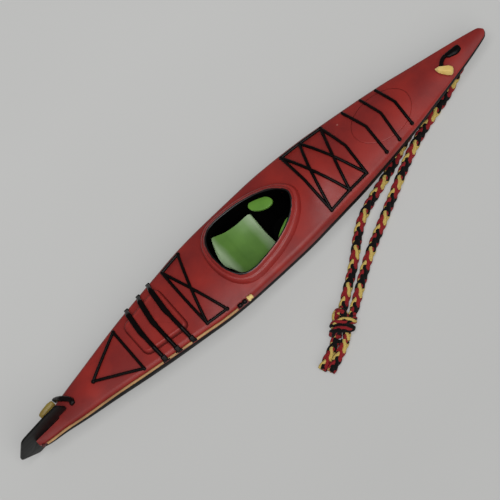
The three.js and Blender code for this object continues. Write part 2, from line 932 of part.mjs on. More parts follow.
// Seat: a moulded block with a dished top and a low back.
function makeSeat() {
  const start = cockpitStart + seatInset;
  const floor = wellWall + seatGap;
  const rings = seatShares.map(([along, wide, back]) => {
    const x = start + along * seatLength;
    const half = wide * seatHalfWidth;
    const top = seatAcrossShares.map((across) => {
      const dish = seatSideRise * Math.abs(across) ** 2.2;
      return new THREE.Vector3(x, across * half, seatHeight + back * seatBackRise + dish);
    });
    const lowHalf = half * seatFootShare;
    const wallHalf = half * seatSideShare;
    const wallHeight = floor + (seamHeight - wellWall) * seatSideHeightShare;
    return top.concat([
      new THREE.Vector3(x, wallHalf, wallHeight),
      new THREE.Vector3(x, lowHalf, floor),
      new THREE.Vector3(x, -lowHalf, floor),
      new THREE.Vector3(x, -wallHalf, wallHeight),
    ]);
  });
  return toSolid(loft(rings)).intersect(seatSpace);
}

// Thigh brace: a pad that stands in from the side of the opening, under the coaming.
function makeBrace(side) {
  const start = cockpitStart + cockpitLength * braceAftShare;
  const length = cockpitLength * (braceForeShare - braceAftShare);
  const points = braceShares.map(
    ([along, out]) => new THREE.Vector2(start + along * length, side * (braceInner + out * braceWidth)),
  );
  const bottom = wellTop + braceRise;
  return toSolid(prism(points, bottom, bottom + braceThickness)).intersect(insideOpening);
}

// Stretches of deck that hold the lines, each from its aft end to its fore end.
const hatchStretch = { start: foreHatchStart, end: foreHatchStart + foreHatchLength };
const lidStretch = { start: aftHatchStart, end: aftHatchEnd };
const foreLacingStretch = {
  start: cockpitEnd + coamingWidth,
  end: alongStretch(hatchStretch, foreBungeeStopShares[0][0][0]),
};
const aftLacingStretch = { start: aftHatchEnd, end: cockpitStart - coamingWidth };
const sternAnchorX = pinX + bladeSweep + sternAnchorGap + sternAnchorLength / 2;
const sternLineStretch = { start: sternAnchorX + sternAnchorLength / 2, end: aftHatchStart };

function alongStretch({ start, end }, share) {
  return start + share * (end - start);
}

// A cord lying on the deck through stops, each a share of the stretch and of the half beam.
function deckLinePoints(stretch, stopShares, radius) {
  const stops = stopShares.map(([along, across]) => {
    const x = alongStretch(stretch, along);
    return new THREE.Vector2(x, across * deckAt(x).beam);
  });
  const places = [stops[0]];
  for (let i = 1; i < stops.length; i += 1) {
    const length = stops[i].distanceTo(stops[i - 1]);
    const count = Math.max(2, Math.round(length / lineStep));
    for (let k = 1; k <= count; k += 1) {
      places.push(stops[i - 1].clone().lerp(stops[i], k / count));
    }
  }
  return places.map((place) => aboveDeck(place.x, place.y, radius + seatGap));
}

function deckLine(stretch, stopShares) {
  return toSolid(bar(deckLinePoints(stretch, stopShares, lineRadius), lineRadius, lineSides));
}

function lineKnot(stretch, [along, across]) {
  const x = alongStretch(stretch, along);
  const place = aboveDeck(x, across * deckAt(x).beam, knotRadius + seatGap);
  return toSolid(new THREE.SphereGeometry(knotRadius, 8, 5).translate(place.x, place.y, place.z));
}

function joined(solids) {
  return solids.reduce((all, one) => all.add(one));
}

// Runs of cord and the knots at their corners, as one piece.
function lacing(stretch, runs, corners) {
  const cords = runs.map((run) => deckLine(stretch, run));
  return joined(cords.concat(corners.map((corner) => lineKnot(stretch, corner))));
}

function makeForeLacing() {
  const at = foreLacingStopShares;
  const runs = [
    [at.portAft, at.portMid, at.portFore],
    [at.starboardAft, at.starboardMid, at.starboardFore],
    [at.portAft, at.ridgeAft, at.starboardAft],
    [at.portFore, at.ridgeFore, at.starboardFore],
    [at.portAft, at.starboardMid],
    [at.portMid, at.starboardAft],
    [at.portMid, at.starboardFore],
    [at.portFore, at.starboardMid],
  ];
  const corners = [at.portAft, at.portMid, at.portFore, at.starboardAft, at.starboardMid, at.starboardFore];
  return lacing(foreLacingStretch, runs, corners);
}

function makeAftLacing() {
  const at = aftLacingStopShares;
  const runs = [
    [at.portFore, at.portAft],
    [at.starboardFore, at.starboardAft],
    [at.portAft, at.starboardAft],
    [at.portFore, at.starboardAft],
    [at.portAft, at.starboardFore],
  ];
  return lacing(aftLacingStretch, runs, Object.values(at));
}

function makeSternLine() {
  const at = sternLineStopShares;
  const runs = [
    [at.port, at.starboard],
    [at.starboard, at.apex],
    [at.apex, at.port],
  ];
  return lacing(sternLineStretch, runs, Object.values(at));
}

function makeForeBungee(stopShares) {
  return lacing(hatchStretch, [stopShares], [stopShares[0], stopShares[stopShares.length - 1]]);
}

// Hatch strap: a cord from gunwale to gunwale with a wide pad over the lid.
function strapHeight(x, y) {
  return deckHeight(x, y) + aftHatchRise;
}

function strapX(station, across) {
  const end = across > 0 ? station.port : station.starboard;
  const share = station.ridge + (end - station.ridge) * Math.min(Math.abs(across), 1);
  return alongStretch(lidStretch, share);
}

function strapAnchorAt(station, side) {
  const x = strapX(station, side);
  return { x, ...onShoulder(x, side, anchorRoundShare, strapAnchorHeight / 2 + seatGap) };
}

function makeStrap(station) {
  const lidX = strapX(station, 0);
  const lidShare = (lidX - aftHatchStart) / aftHatchLength;
  const lidWidth = aftHatchBackWidth + (aftHatchFrontWidth - aftHatchBackWidth) * lidShare;
  const lidHalf = lidWidth / 2 + aftHatchTaper / 2;
  const lift = strapRadius + seatGap * 2;
  const overLid = strapAcrossShares.map((share) => {
    const y = -share * lidHalf;
    const x = strapX(station, y / deckAt(lidX).beam);
    return new THREE.Vector3(x, y, strapHeight(x, y) + lift);
  });
  const portAnchor = strapAnchorAt(station, 1);
  const starboardAnchor = strapAnchorAt(station, -1);
  const shorten = (anchor, towards) => {
    const run = towards.clone().sub(anchor.point);
    const cut = strapAnchorWidth / 2 + seatGap;
    return anchor.point.clone().addScaledVector(run.normalize(), cut);
  };
  const points = [shorten(portAnchor, overLid[0])]
    .concat(overLid)
    .concat([shorten(starboardAnchor, overLid[overLid.length - 1])]);
  const cord = toSolid(bar(points, strapRadius, lineSides, points.length * 2));
  const padRings = strapPadShares.map(([share, end]) => {
    const y = strapPadPortShift + share * strapPadHalfLength;
    const x = strapX(station, y / deckAt(lidX).beam);
    const low = strapHeight(x, y) + seatGap * 2;
    const half = (strapPadWidth / 2) * end;
    const top = low + strapPadThickness + strapRadius;
    return [
      new THREE.Vector3(x - half, y, low),
      new THREE.Vector3(x - half, y, top - strapPadThickness / 2),
      new THREE.Vector3(x - half / 2, y, top),
      new THREE.Vector3(x + half / 2, y, top),
      new THREE.Vector3(x + half, y, top - strapPadThickness / 2),
      new THREE.Vector3(x + half, y, low),
    ];
  });
  return cord.add(toSolid(loft(padRings)));
}

const clipX = stationX(clipShare);
const lineKnobX = clipX + clipLength / 2 + lineEndGap + lineKnobLength / 2;

function rudderLinePoints() {
  const first = stationX(rudderLineAftShare);
  const last = clipX - clipLength / 2 - lineEndGap;
  const points = [];
  for (let i = 0; i <= rudderLineSteps; i += 1) {
    const x = first + ((last - first) * i) / rudderLineSteps;
    points.push(onShoulder(x, -1, lineRoundShare, rudderLineRadius + seatGap).point);
  }
  return points;
}

function makeStrapAnchor(station, side) {
  const { point, normal } = strapAnchorAt(station, side);
  const block = new THREE.BoxGeometry(strapAnchorLength, strapAnchorWidth, strapAnchorHeight);
  const tilt = Math.atan2(-normal.y, normal.z);
  const placed = block.rotateX(tilt).translate(point.x, point.y, point.z);
  const tunnel = bar(rudderLinePoints(), rudderLineRadius + seatGap, lineSides);
  const fitted = seated(toSolid(placed));
  return side < 0 ? fitted.subtract(toSolid(tunnel)) : fitted;
}

// Turned fitting along the boat's shoulder, from its outline in shares.
function shoulderFitting(x, length, radius, shares) {
  const from = onShoulder(x - length / 2, -1, fittingRoundShare, radius + seatGap).point;
  const to = onShoulder(x + length / 2, -1, fittingRoundShare, radius + seatGap).point;
  const outline = shares.map(([along, out]) => new THREE.Vector2(out * radius, along * length));
  const turned = new THREE.LatheGeometry(outline, 10).rotateX(Math.PI / 2);
  return toSolid(aimed(turned, from, to.sub(from)));
}

function makeClip() {
  return shoulderFitting(clipX, clipLength, clipRadius, clipShares);
}

function makeLineKnob() {
  return shoulderFitting(lineKnobX, lineKnobLength, lineKnobRadius, lineKnobShares);
}

// Toggle between two places, turned from its outline.
function toggleBetween(from, to, length, radius) {
  const outline = toggleShares.map(([along, out]) => new THREE.Vector2(out * radius, along * length));
  const turned = new THREE.LatheGeometry(outline, 12).rotateX(Math.PI / 2);
  const direction = to.clone().sub(from).normalize();
  const middle = from.clone().lerp(to, 1 / 2);
  return aimed(turned, middle.addScaledVector(direction, -length / 2), direction);
}

// Bow grab line: an anchor on the ridge, a short line and a toggle on the starboard half of the deck.
const bowAnchorX = stationX(bowAnchorShare);
const bowToggleX = bowAnchorX - bowToggleSpacing;

function bowToggleEnds() {
  const reach = bowToggleLength / 2;
  const centreY = -deckAt(bowToggleX).beam * bowToggleAcrossShare;
  return [-1, 1].map((end) => {
    const x = bowToggleX + end * reach * Math.cos(bowToggleAngle);
    const y = centreY - end * reach * Math.sin(bowToggleAngle);
    const limit = deckAt(x).beam * bowToggleEdgeShare;
    const inside = Math.max(Math.min(y, limit), -limit);
    return new THREE.Vector3(x, y, deckHeight(x, inside) + bowToggleRadius + seatGap * 2);
  });
}

function makeBowToggle() {
  const [from, to] = bowToggleEnds();
  return seated(toSolid(toggleBetween(from, to, bowToggleLength, bowToggleRadius)));
}

// Low fitting on the deck with a plan outline in shares.
function deckFitting(shares, x, length, width, height) {
  const outline = shares.map(([along, across]) => new THREE.Vector2(x + along * length, across * width));
  return seated(toSolid(prism(outline, seamHeight, highest))).intersect(deckMoved(seatGap + height));
}

function makeBowAnchor() {
  return deckFitting(bowAnchorShares, bowAnchorX, bowAnchorLength, bowAnchorWidth, bowAnchorHeight);
}

// The line bends from the anchor's aft end to the port side of the toggle.
function makeBowLine() {
  const [aftEnd, foreEnd] = bowToggleEnds();
  const axis = foreEnd.clone().sub(aftEnd).normalize();
  const portSide = new THREE.Vector3(-axis.y, axis.x, 0).normalize();
  const clear = bowToggleRadius + toggleLineRadius + seatGap;
  const end = aftEnd.lerp(foreEnd, bowLineMeetShare).addScaledVector(portSide, clear);
  const startX = bowAnchorX - bowAnchorLength / 2 - toggleLineRadius;
  const startY = bowAnchorWidth / 4;
  const bend = bowGrabLineShares.map((share) => {
    const x = startX + (end.x - startX) * share;
    const y = startY + (end.y - startY) * share ** 2;
    return aboveDeck(x, y, toggleLineRadius + seatGap);
  });
  return toSolid(bar(bend, toggleLineRadius, lineSides));
}

// Stern grab line: an anchor on the ridge, a line over the port shoulder and a toggle beside the hull.
const sternToggleX = sternAnchorX - sternLineReach;

function makeSternAnchor() {
  return deckFitting(
    sternAnchorShares,
    sternAnchorX,
    sternAnchorLength,
    sternAnchorWidth,
    sternAnchorHeight,
  );
}

// Centre line of the stern toggle: it hangs beside the port side, just clear of it.
function besideStern(x) {
  const y = deckAt(x).beam + sternToggleRadius + sternToggleGap;
  return new THREE.Vector3(x, y, seamHeight + sternToggleRise);
}

function makeSternToggle() {
  const from = besideStern(sternToggleX);
  const to = besideStern(sternToggleX - sternToggleLength);
  return toSolid(toggleBetween(from, to, sternToggleLength, sternToggleRadius));
}

function makeSternGrabLine() {
  const lift = toggleLineRadius + seatGap;
  const onDeck = sternGrabLineShares.map(([aft, out]) => {
    const x = sternAnchorX + sternAnchorLength * aft;
    return aboveDeck(x, out * deckAt(x).beam, lift);
  });
  const face = besideStern(sternToggleX);
  const aft = besideStern(sternToggleX - sternToggleLength).sub(face).normalize();
  const before = face.clone().addScaledVector(aft, -lineEndGap - toggleLineRadius * 2);
  const end = face.clone().addScaledVector(aft, -lineEndGap);
  return seated(toSolid(bar(onDeck.concat([before, end]), toggleLineRadius, lineSides, sternGrabSteps)));
}

const root = new THREE.Group();

function add(name, solid, color, roughness, metalness = 0) {
  const material = new THREE.MeshStandardMaterial({ color, roughness, metalness });
  const mesh = new THREE.Mesh(toGeometry(solid), material);
  mesh.name = name;
  root.add(mesh);
}

const red = 0x8b2a28;
const black = 0x121012;
const green = 0x4f8a3c;
const yellow = 0xd9b95a;

add("hull", makeHull(), black, 0.45);
add("deck", makeDeck(), red, 0.4);
add("coaming", makeCoaming(), red, 0.4);
add("seat", makeSeat(), green, 0.25);
add("thigh_brace_port", makeBrace(1), green, 0.35);
add("thigh_brace_starboard", makeBrace(-1), green, 0.35);
add("fore_hatch_cover", makeForeHatchCover(), red, 0.4);
add("aft_hatch_cover", makeAftHatchCover(), red, 0.4);
strapStationShares.forEach((station, i) => {
  add("hatch_strap_" + (i + 1), makeStrap(station), black, 0.5);
  add("strap_anchor_port_" + (i + 1), makeStrapAnchor(station, 1), black, 0.5);
  add("strap_anchor_starboard_" + (i + 1), makeStrapAnchor(station, -1), black, 0.5);
});
foreBungeeStopShares.forEach((stops, i) => {
  add("fore_bungee_" + (i + 1), makeForeBungee(stops), black, 0.5);
});
add("foredeck_lacing", makeForeLacing(), black, 0.5);
add("aft_deck_lacing", makeAftLacing(), black, 0.5);
add("stern_deck_line", makeSternLine(), black, 0.5);
add("rudder_line", toSolid(bar(rudderLinePoints(), rudderLineRadius, lineSides)), 0xc8955a, 0.5);
add("rudder_line_clip", makeClip(), black, 0.5);
add("rudder_line_knob", makeLineKnob(), yellow, 0.45);
add("bow_line_anchor", makeBowAnchor(), black, 0.5);
add("bow_grab_line", makeBowLine(), black, 0.6);
add("bow_toggle", makeBowToggle(), yellow, 0.5);
add("stern_line_anchor", makeSternAnchor(), black, 0.5);
add("stern_grab_line", makeSternGrabLine(), black, 0.6);
add("stern_toggle", makeSternToggle(), 0xb4a546, 0.5);

// Rudder blade: a flat plate that turns on a pin through the two cheeks of the stern.
function makeBlade() {
  const outline = bladeShares.map(
    ([along, up]) => new THREE.Vector2(bladeAft + along * bladeLength, bladeBottom + up * bladeHeight),
  );
  const plate = new THREE.ExtrudeGeometry(new THREE.Shape(outline), {
    depth: bladeThickness,
    bevelEnabled: false,
  });
  plate.rotateX(Math.PI / 2).translate(0, bladeThickness / 2, 0);
  const hole = crossPin(pinRadius + pinClearance, bladeThickness * 3);
  return toSolid(plate).subtract(toSolid(hole));
}

function makePin() {
  const headX = pinX + pinHeadRadius;
  const cheek = deckAt(headX).beam + seatGap;
  const outline = [
    [0, -cheek - pinHeadThickness],
    [pinHeadRadius, -cheek - pinHeadThickness],
    [pinHeadRadius, -cheek],
    [pinRadius, -cheek],
    [pinRadius, cheek],
    [pinHeadRadius, cheek],
    [pinHeadRadius, cheek + pinHeadThickness],
    [0, cheek + pinHeadThickness],
  ].map(([radius, along]) => new THREE.Vector2(radius, along));
  return toSolid(new THREE.LatheGeometry(outline, 12).translate(pinX, 0, pinZ));
}

add("rudder_blade", makeBlade(), 0x2b2b29, 0.45, 0.6);
add("rudder_pin", makePin(), 0xb8b8b4, 0.3, 0.9);

// Hanging cord: two legs from the bow to an overhand knot, and the knot's two tails.
function cordRun(route) {
  const points = cordPoints(route);
  const path = new THREE.CatmullRomCurve3(points, false, "centripetal");
  const steps = Math.max(3, Math.round(path.getLength() / cordStep));
  return toSolid(bar(points, cordDiameter / 2, cordSides, steps));
}

function makeKnot() {
  const entries = [foreLegRoute, aftLegRoute].map((route) => new THREE.Vector3(...route[route.length - 1]));
  const exits = tailRoutes.map((route) => new THREE.Vector3(...route[0]));
  const entry = entries[0].clone().lerp(entries[1], 0.5);
  const exit = exits[0].clone().lerp(exits[1], 0.5);
  const outline = cordKnotShares.map(([out, along]) => new THREE.Vector2(out, along * knotLength));
  const body = new THREE.LatheGeometry(outline, 12).rotateX(Math.PI / 2);
  body.rotateY(Math.PI / 2);
  body.scale(1, knotHalfWidth, knotHalfHeight);
  const heading = exit.clone().sub(entry);
  body.rotateZ(Math.atan2(heading.y, heading.x));
  const middle = entry.lerp(exit, 0.5);
  return toSolid(body.translate(middle.x, middle.y, knotHalfHeight + seatGap / 4));
}

add("cord_leg_fore", cordRun(foreLegRoute), 0xa02a24, 0.9);
add("cord_leg_aft", cordRun(aftLegRoute), 0xa02a24, 0.9);
add("cord_knot", makeKnot(), 0xa02a24, 0.9);
tailRoutes.forEach((route, i) => {
  add("cord_tail_" + (i + 1), cordRun(route), 0xa02a24, 0.9);
});

export default root;
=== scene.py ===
"""A small painted sea kayak ornament with its braided hanging cord, dressed for the photograph's view."""

import math

import bmesh
import bpy
import numpy as np
from mathutils import Matrix, Vector


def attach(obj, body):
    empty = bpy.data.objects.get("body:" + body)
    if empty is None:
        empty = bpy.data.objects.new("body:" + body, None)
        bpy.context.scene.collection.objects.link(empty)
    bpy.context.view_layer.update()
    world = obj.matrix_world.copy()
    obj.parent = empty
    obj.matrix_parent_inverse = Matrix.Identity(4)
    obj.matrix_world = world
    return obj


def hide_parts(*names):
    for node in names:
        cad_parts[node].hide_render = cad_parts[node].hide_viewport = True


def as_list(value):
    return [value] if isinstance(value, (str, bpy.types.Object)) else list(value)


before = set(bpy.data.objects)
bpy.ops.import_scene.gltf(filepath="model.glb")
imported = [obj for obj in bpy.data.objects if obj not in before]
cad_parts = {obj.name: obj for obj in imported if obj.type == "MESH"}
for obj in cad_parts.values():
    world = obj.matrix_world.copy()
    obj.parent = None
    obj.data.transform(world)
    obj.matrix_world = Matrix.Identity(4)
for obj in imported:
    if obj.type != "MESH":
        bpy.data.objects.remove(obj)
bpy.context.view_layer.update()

MM = 0.001

# Sizes in millimetres
HULL_LENGTH = 160
HALF_BEAM = 12.7
SEAM_HEIGHT = 7.4
DECK_RISE = 7.2
SHOULDER_RADIUS = 1.4
# Power of the curve from the deck's edge up to its ridge
CROWN_POWER = 1.8
STERN = -HULL_LENGTH / 2
BOW = HULL_LENGTH / 2
BOW_ROUNDING = 1.2
SEAT_GAP = 0.12
CORD_DIAMETER = 2.65
CORD_RADIUS = CORD_DIAMETER / 2

# Lines of the boat: share of the length from the stern, then half beam, keel height, deck edge, deck ridge
# and the seam as shares of HALF_BEAM, SEAM_HEIGHT, DECK_RISE, DECK_RISE and SEAM_HEIGHT
BOAT = [
    (0, 0.136, 0.685, 0.194, 0.264, 1.014),
    (0.004, 0.169, 0.632, 0.201, 0.267, 1.019),
    (0.0165, 0.211, 0.562, 0.222, 0.281, 1.038),
    (0.05, 0.267, 0.439, 0.271, 0.326, 1.084),
    (0.0775, 0.338, 0.369, 0.319, 0.375, 1.114),
    (0.1, 0.391, 0.316, 0.354, 0.424, 1.135),
    (0.132, 0.458, 0.246, 0.403, 0.486, 1.157),
    (0.165, 0.534, 0.184, 0.444, 0.521, 1.165),
    (0.198, 0.614, 0.132, 0.465, 0.535, 1.162),
    (0.231, 0.687, 0.088, 0.479, 0.539, 1.155),
    (0.264, 0.753, 0.048, 0.486, 0.542, 1.149),
    (0.3, 0.82, 0.018, 0.486, 0.549, 1.14),
    (0.33, 0.874, 0, 0.476, 0.604, 1.132),
    (0.362, 0.934, 0, 0.465, 0.722, 1.128),
    (0.395, 0.973, 0, 0.472, 0.757, 1.124),
    (0.43, 0.992, 0, 0.486, 0.75, 1.119),
    (0.494, 1, 0, 0.514, 0.722, 1.121),
    (0.53, 1, 0, 0.535, 0.722, 1.122),
    (0.56, 0.989, 0, 0.556, 0.743, 1.127),
    (0.59, 0.963, 0, 0.562, 0.826, 1.132),
    (0.615, 0.94, 0.004, 0.549, 0.958, 1.132),
    (0.64, 0.916, 0.013, 0.521, 0.972, 1.132),
    (0.667, 0.888, 0.031, 0.479, 0.854, 1.127),
    (0.69, 0.856, 0.057, 0.444, 0.701, 1.122),
    (0.725, 0.798, 0.114, 0.406, 0.604, 1.11),
    (0.758, 0.739, 0.176, 0.375, 0.562, 1.1),
    (0.79, 0.676, 0.264, 0.34, 0.521, 1.088),
    (0.824, 0.602, 0.338, 0.278, 0.465, 1.073),
    (0.857, 0.514, 0.395, 0.215, 0.389, 1.058),
    (0.89, 0.427, 0.444, 0.153, 0.312, 1.042),
    (0.923, 0.34, 0.492, 0.104, 0.236, 1.027),
    (0.9555, 0.247, 0.575, 0.076, 0.167, 1.015),
    (0.98, 0.169, 0.668, 0.062, 0.118, 1.008),
    (0.994, 0.115, 0.747, 0.056, 0.09, 1.004),
    (1, 0.071, 0.791, 0.049, 0.076, 1.003),
]
HALF_BEAM_SHARE, KEEL_SHARE, EDGE_SHARE, RIDGE_SHARE, SEAM_SHARE = 1, 2, 3, 4, 5
# Half section of the hull: full share, vee share of the half beam, share of the depth
HULL_SECTION = [
    (1, 1, 0),
    (0.985, 0.99, 0.2),
    (0.92, 0.95, 0.42),
    (0.79, 0.83, 0.63),
    (0.63, 0.6, 0.79),
    (0.44, 0.33, 0.91),
]

# Camera and light

CAMERA_TILT = math.radians(27)
CAMERA_DISTANCE = 0.9
PICTURE_WIDTH = 131.8 * MM
PICTURE_MIDDLE = Vector((-4.6, -0.41, 6.2)) * MM
# What one step along the boat and one step across it go to the right in the picture
RIGHT_ALONG, RIGHT_ACROSS = 0.7346, 0.679
SENSOR_WIDTH = 36


def place_camera():
    """Looks down on the starboard side, 27 degrees off the vertical, with the bow at the upper right."""
    ahead = Vector((0, math.sin(CAMERA_TILT), -math.cos(CAMERA_TILT)))
    across = Vector((0, -math.cos(CAMERA_TILT), -math.sin(CAMERA_TILT)))
    right = (Vector((RIGHT_ALONG, 0, 0)) + across * RIGHT_ACROSS).normalized()
    up = right.cross(ahead).normalized()
    right = up.cross(-ahead).normalized()
    data = bpy.data.cameras.new("camera")
    data.sensor_width = SENSOR_WIDTH
    data.lens = SENSOR_WIDTH * CAMERA_DISTANCE / PICTURE_WIDTH
    data.clip_start = 0.01
    data.clip_end = 20
    camera = bpy.data.objects.new("camera", data)
    camera.matrix_world = Matrix((right, up, -ahead)).transposed().to_4x4()
    camera.location = PICTURE_MIDDLE - ahead * CAMERA_DISTANCE
    bpy.context.scene.collection.objects.link(camera)
    bpy.context.scene.camera = camera
    return right, up


SCREEN_RIGHT, SCREEN_UP = place_camera()


def softbox(name, direction, distance, size, power, color):
    data = bpy.data.lights.new(name, "AREA")
    data.shape = "RECTANGLE"
    data.size = data.size_y = size
    data.energy = power
    data.color = color
    lamp = bpy.data.objects.new(name, data)
    direction = direction.normalized()
    lamp.location = direction * distance
    lamp.rotation_mode = "QUATERNION"
    lamp.rotation_quaternion = direction.to_track_quat("Z", "Y")
    bpy.context.scene.collection.objects.link(lamp)


def light_the_table():
    """One large soft light from the lower right of the picture, a wide one overhead and a pale, dim room."""
    key = SCREEN_RIGHT * 0.55 + SCREEN_UP * -0.55 + Vector((0, 0, 1.0))
    above = SCREEN_RIGHT * 0.2 + SCREEN_UP * -0.22 + Vector((0, 0, 1.0))
    softbox("key_softbox", key, 1.2, 0.75, 5.0, (1, 0.99, 0.965))
    softbox("overhead_softbox", above, 1.3, 0.8, 8.4, (0.98, 0.99, 1))
    world = bpy.data.worlds.new("studio")
    bpy.context.scene.world = world
    world.use_nodes = True
    background = world.node_tree.nodes["Background"]
    background.inputs["Color"].default_value = (0.8, 0.805, 0.81, 1)
    background.inputs["Strength"].default_value = 0.2
    bpy.context.scene.view_settings.view_transform = "Standard"


light_the_table()

# Lines of the boat


def limited(value, low=0.0, high=1.0):
    return min(max(value, low), high)


def cubic(a, leaving, b, arriving, t):
    """From a to b with the given tangents."""
    return (
        a * (2 * t**3 - 3 * t**2 + 1)
        + leaving * (t**3 - 2 * t**2 + t)
        + b * (3 * t**2 - 2 * t**3)
        + arriving * (t**3 - t**2)
    )


def boat_share(column, x):
    """Smooth value from the boat's table, with no overshoot between rows."""
    last = len(BOAT) - 1
    place = limited((x - STERN) / HULL_LENGTH)
    i = 0
    while i < last - 1 and BOAT[i + 1][0] < place:
        i += 1

    def slope(k):
        return (BOAT[k + 1][column] - BOAT[k][column]) / (BOAT[k + 1][0] - BOAT[k][0])

    def tangent(k):
        if k in (0, last):
            return slope(min(k, last - 1))
        before, after = slope(k - 1), slope(k)
        return 0 if before * after <= 0 else 2 * before * after / (before + after)

    width = BOAT[i + 1][0] - BOAT[i][0]
    t = (place - BOAT[i][0]) / width
    return cubic(BOAT[i][column], width * tangent(i), BOAT[i + 1][column], width * tangent(i + 1), t)


def half_beam(x):
    return boat_share(HALF_BEAM_SHARE, x) * HALF_BEAM


def seam_at(x):
    """Height of the seam between hull and deck."""
    return boat_share(SEAM_SHARE, x) * SEAM_HEIGHT


def deck_at(x):
    """Deck edge and ridge above the seam, the shoulder's radius and lean, and the crown's half width."""
    beam = half_beam(x)
    edge = boat_share(EDGE_SHARE, x) * DECK_RISE
    ridge = boat_share(RIDGE_SHARE, x) * DECK_RISE
    radius = min(SHOULDER_RADIUS, beam * 0.3, edge * 0.6)
    lean = math.atan((ridge - edge) * CROWN_POWER / (beam - radius / 2))
    return edge, ridge, radius, lean, beam - radius * (1 - math.sin(lean))


def deck_height(x, y):
    edge, ridge, radius, lean, top_half = deck_at(x)
    out = abs(y)
    if out <= top_half:
        return SEAM_HEIGHT + edge + (ridge - edge) * (1 - (out / top_half) ** CROWN_POWER)
    centre = top_half - radius * math.sin(lean)
    fall = radius * math.cos(lean) - math.sqrt(max(radius**2 - (out - centre) ** 2, 0))
    return SEAM_HEIGHT + edge - fall


def above_deck(x, y, lift):
    """The point over the deck at a lift along the deck's normal."""
    step = 0.07
    slope_x = (deck_height(x + step, y) - deck_height(x - step, y)) / (2 * step)
    slope_y = (deck_height(x, y + step) - deck_height(x, y - step)) / (2 * step)
    normal = Vector((-slope_x, -slope_y, 1)).normalized()
    return Vector((x, y, deck_height(x, y))) + normal * lift


def on_shoulder(x, side, share, lift):
    """A point at a share of the way round the deck's shoulder; side is 1 for port and -1 for starboard."""
    edge, _, radius, lean, top_half = deck_at(x)
    angle = lean + (math.pi / 2 - lean) * share
    normal = Vector((0, side * math.sin(angle), math.cos(angle)))
    out = side * (top_half - radius * math.sin(lean))
    return Vector((x, out, SEAM_HEIGHT + edge - radius * math.cos(lean))) + normal * (radius + lift)


# Lines of points


def catmull_rom(points, closed, per_span):
    """Centripetal Catmull-Rom curve through points."""
    n = len(points)
    made = []
    for i in range(n if closed else n - 1):
        p1, p2 = points[i], points[(i + 1) % n]
        p0 = points[i - 1] if closed or i else p1 * 2 - p2
        p3 = points[(i + 2) % n] if closed or i + 2 < n else p2 * 2 - p1
        d0, d1, d2 = (max((b - a).length ** 0.5, 1e-6) for a, b in ((p0, p1), (p1, p2), (p2, p3)))
        t1 = ((p1 - p0) / d0 - (p2 - p0) / (d0 + d1) + (p2 - p1) / d1) * d1
        t2 = ((p2 - p1) / d1 - (p3 - p1) / (d1 + d2) + (p3 - p2) / d2) * d1
        made += [cubic(p1, t1, p2, t2, k / per_span) for k in range(per_span)]
    return made if closed else made + [points[-1].copy()]


def evenly(points, count, closed=False):
    """The same line with count evenly spaced points."""
    line = points + [points[0]] if closed else points
    far = [0.0]
    for a, b in zip(line, line[1:]):
        far.append(far[-1] + (b - a).length)
    wanted = np.linspace(0, far[-1], count + 1)[:-1] if closed else np.linspace(0, far[-1], count)
    return [Vector([float(np.interp(w, far, [p[axis] for p in line])) for axis in range(3)]) for w in wanted]


def plan_points(shares, start, length, half_width):
    """Points in plan from shares along a length and out to its side."""
    return [Vector((start + a * length, b * half_width, 0)) for a, b in shares]


def circle_angles(count, start=0.0):
    return [2 * math.pi * i / count + start for i in range(count)]


def oval(half_length, half_width, count):
    return [Vector((half_length * math.cos(a), half_width * math.sin(a), 0)) for a in circle_angles(count)]


def mirrored_outline(shares, start, length, half_width, steps):
    """Closed plan outline through the mirrored half outline, with evenly spaced points."""
    half = plan_points(shares, start, length, half_width)
    mirrored = [Vector((p.x, -p.y, 0)) for p in reversed(half[1:-1])]
    return evenly(catmull_rom(half + mirrored, True, 12), steps, True)


def bend(first, corner, last, count):
    """Points of a curve from first to last that is drawn towards the corner."""
    shares = [k / (count - 1) for k in range(count)]
    return [first * (1 - t) ** 2 + corner * (2 * t * (1 - t)) + last * t**2 for t in shares]


def soft_corners(corners, share):
    """A closed outline with each corner rounded over a share of its shorter side."""
    made = []
    for i, corner in enumerate(corners):
        before, after = corners[i - 1], corners[(i + 1) % len(corners)]
        reach = min((before - corner).length, (after - corner).length) * share
        first = corner + (before - corner).normalized() * reach
        last = corner + (after - corner).normalized() * reach
        made += bend(first, corner, last, 6)
    return evenly(made, 96, True)


def frames(line):
    """Each point of a line with two directions across it that don't twist along it."""
    made = []
    aside = None
    for i, place in enumerate(line):
        ahead = (line[min(i + 1, len(line) - 1)] - line[max(i - 1, 0)]).normalized()
        if aside is None:
            aside = ahead.cross(Vector((0, 0, 1)))
        aside = (aside - ahead * aside.dot(ahead)).normalized()
        made.append((place, aside, ahead.cross(aside)))
    return made


def around(middle, aside, upward, radius, angle):
    return middle + aside * (radius * math.cos(angle)) + upward * (radius * math.sin(angle))


# Making meshes


def new_object(name, mesh):
    made = bpy.data.objects.new(name, mesh)
    bpy.context.scene.collection.objects.link(made)
    return made


def object_from(name, points, faces):
    """A closed mesh from points in millimetres, with its faces pointing out."""
    mesh = bpy.data.meshes.new(name)
    mesh.from_pydata([Vector(p) * MM for p in points], [], faces)
    work = bmesh.new()
    work.from_mesh(mesh)
    bmesh.ops.recalc_face_normals(work, faces=work.faces)
    work.to_mesh(mesh)
    work.free()
    return new_object(name, mesh)


def loft(name, rings, closed=False):
    """Skin over rings with the same number of points, closed on itself or by a fan at each end."""
    count, total = len(rings[0]), len(rings)
    points = [p for ring in rings for p in ring]
    faces = []
    for i in range(total if closed else total - 1):
        low, high = i * count, (i + 1) % total * count
        for j in range(count):
            k = (j + 1) % count
            faces.append((low + j, low + k, high + k, high + j))
    for start in () if closed else (0, (total - 1) * count):
        middle = len(points)
        points.append(sum((Vector(p) for p in points[start : start + count]), Vector()) / count)
        faces += [(middle, start + (j + 1) % count, start + j) for j in range(count)]
    return object_from(name, points, faces)


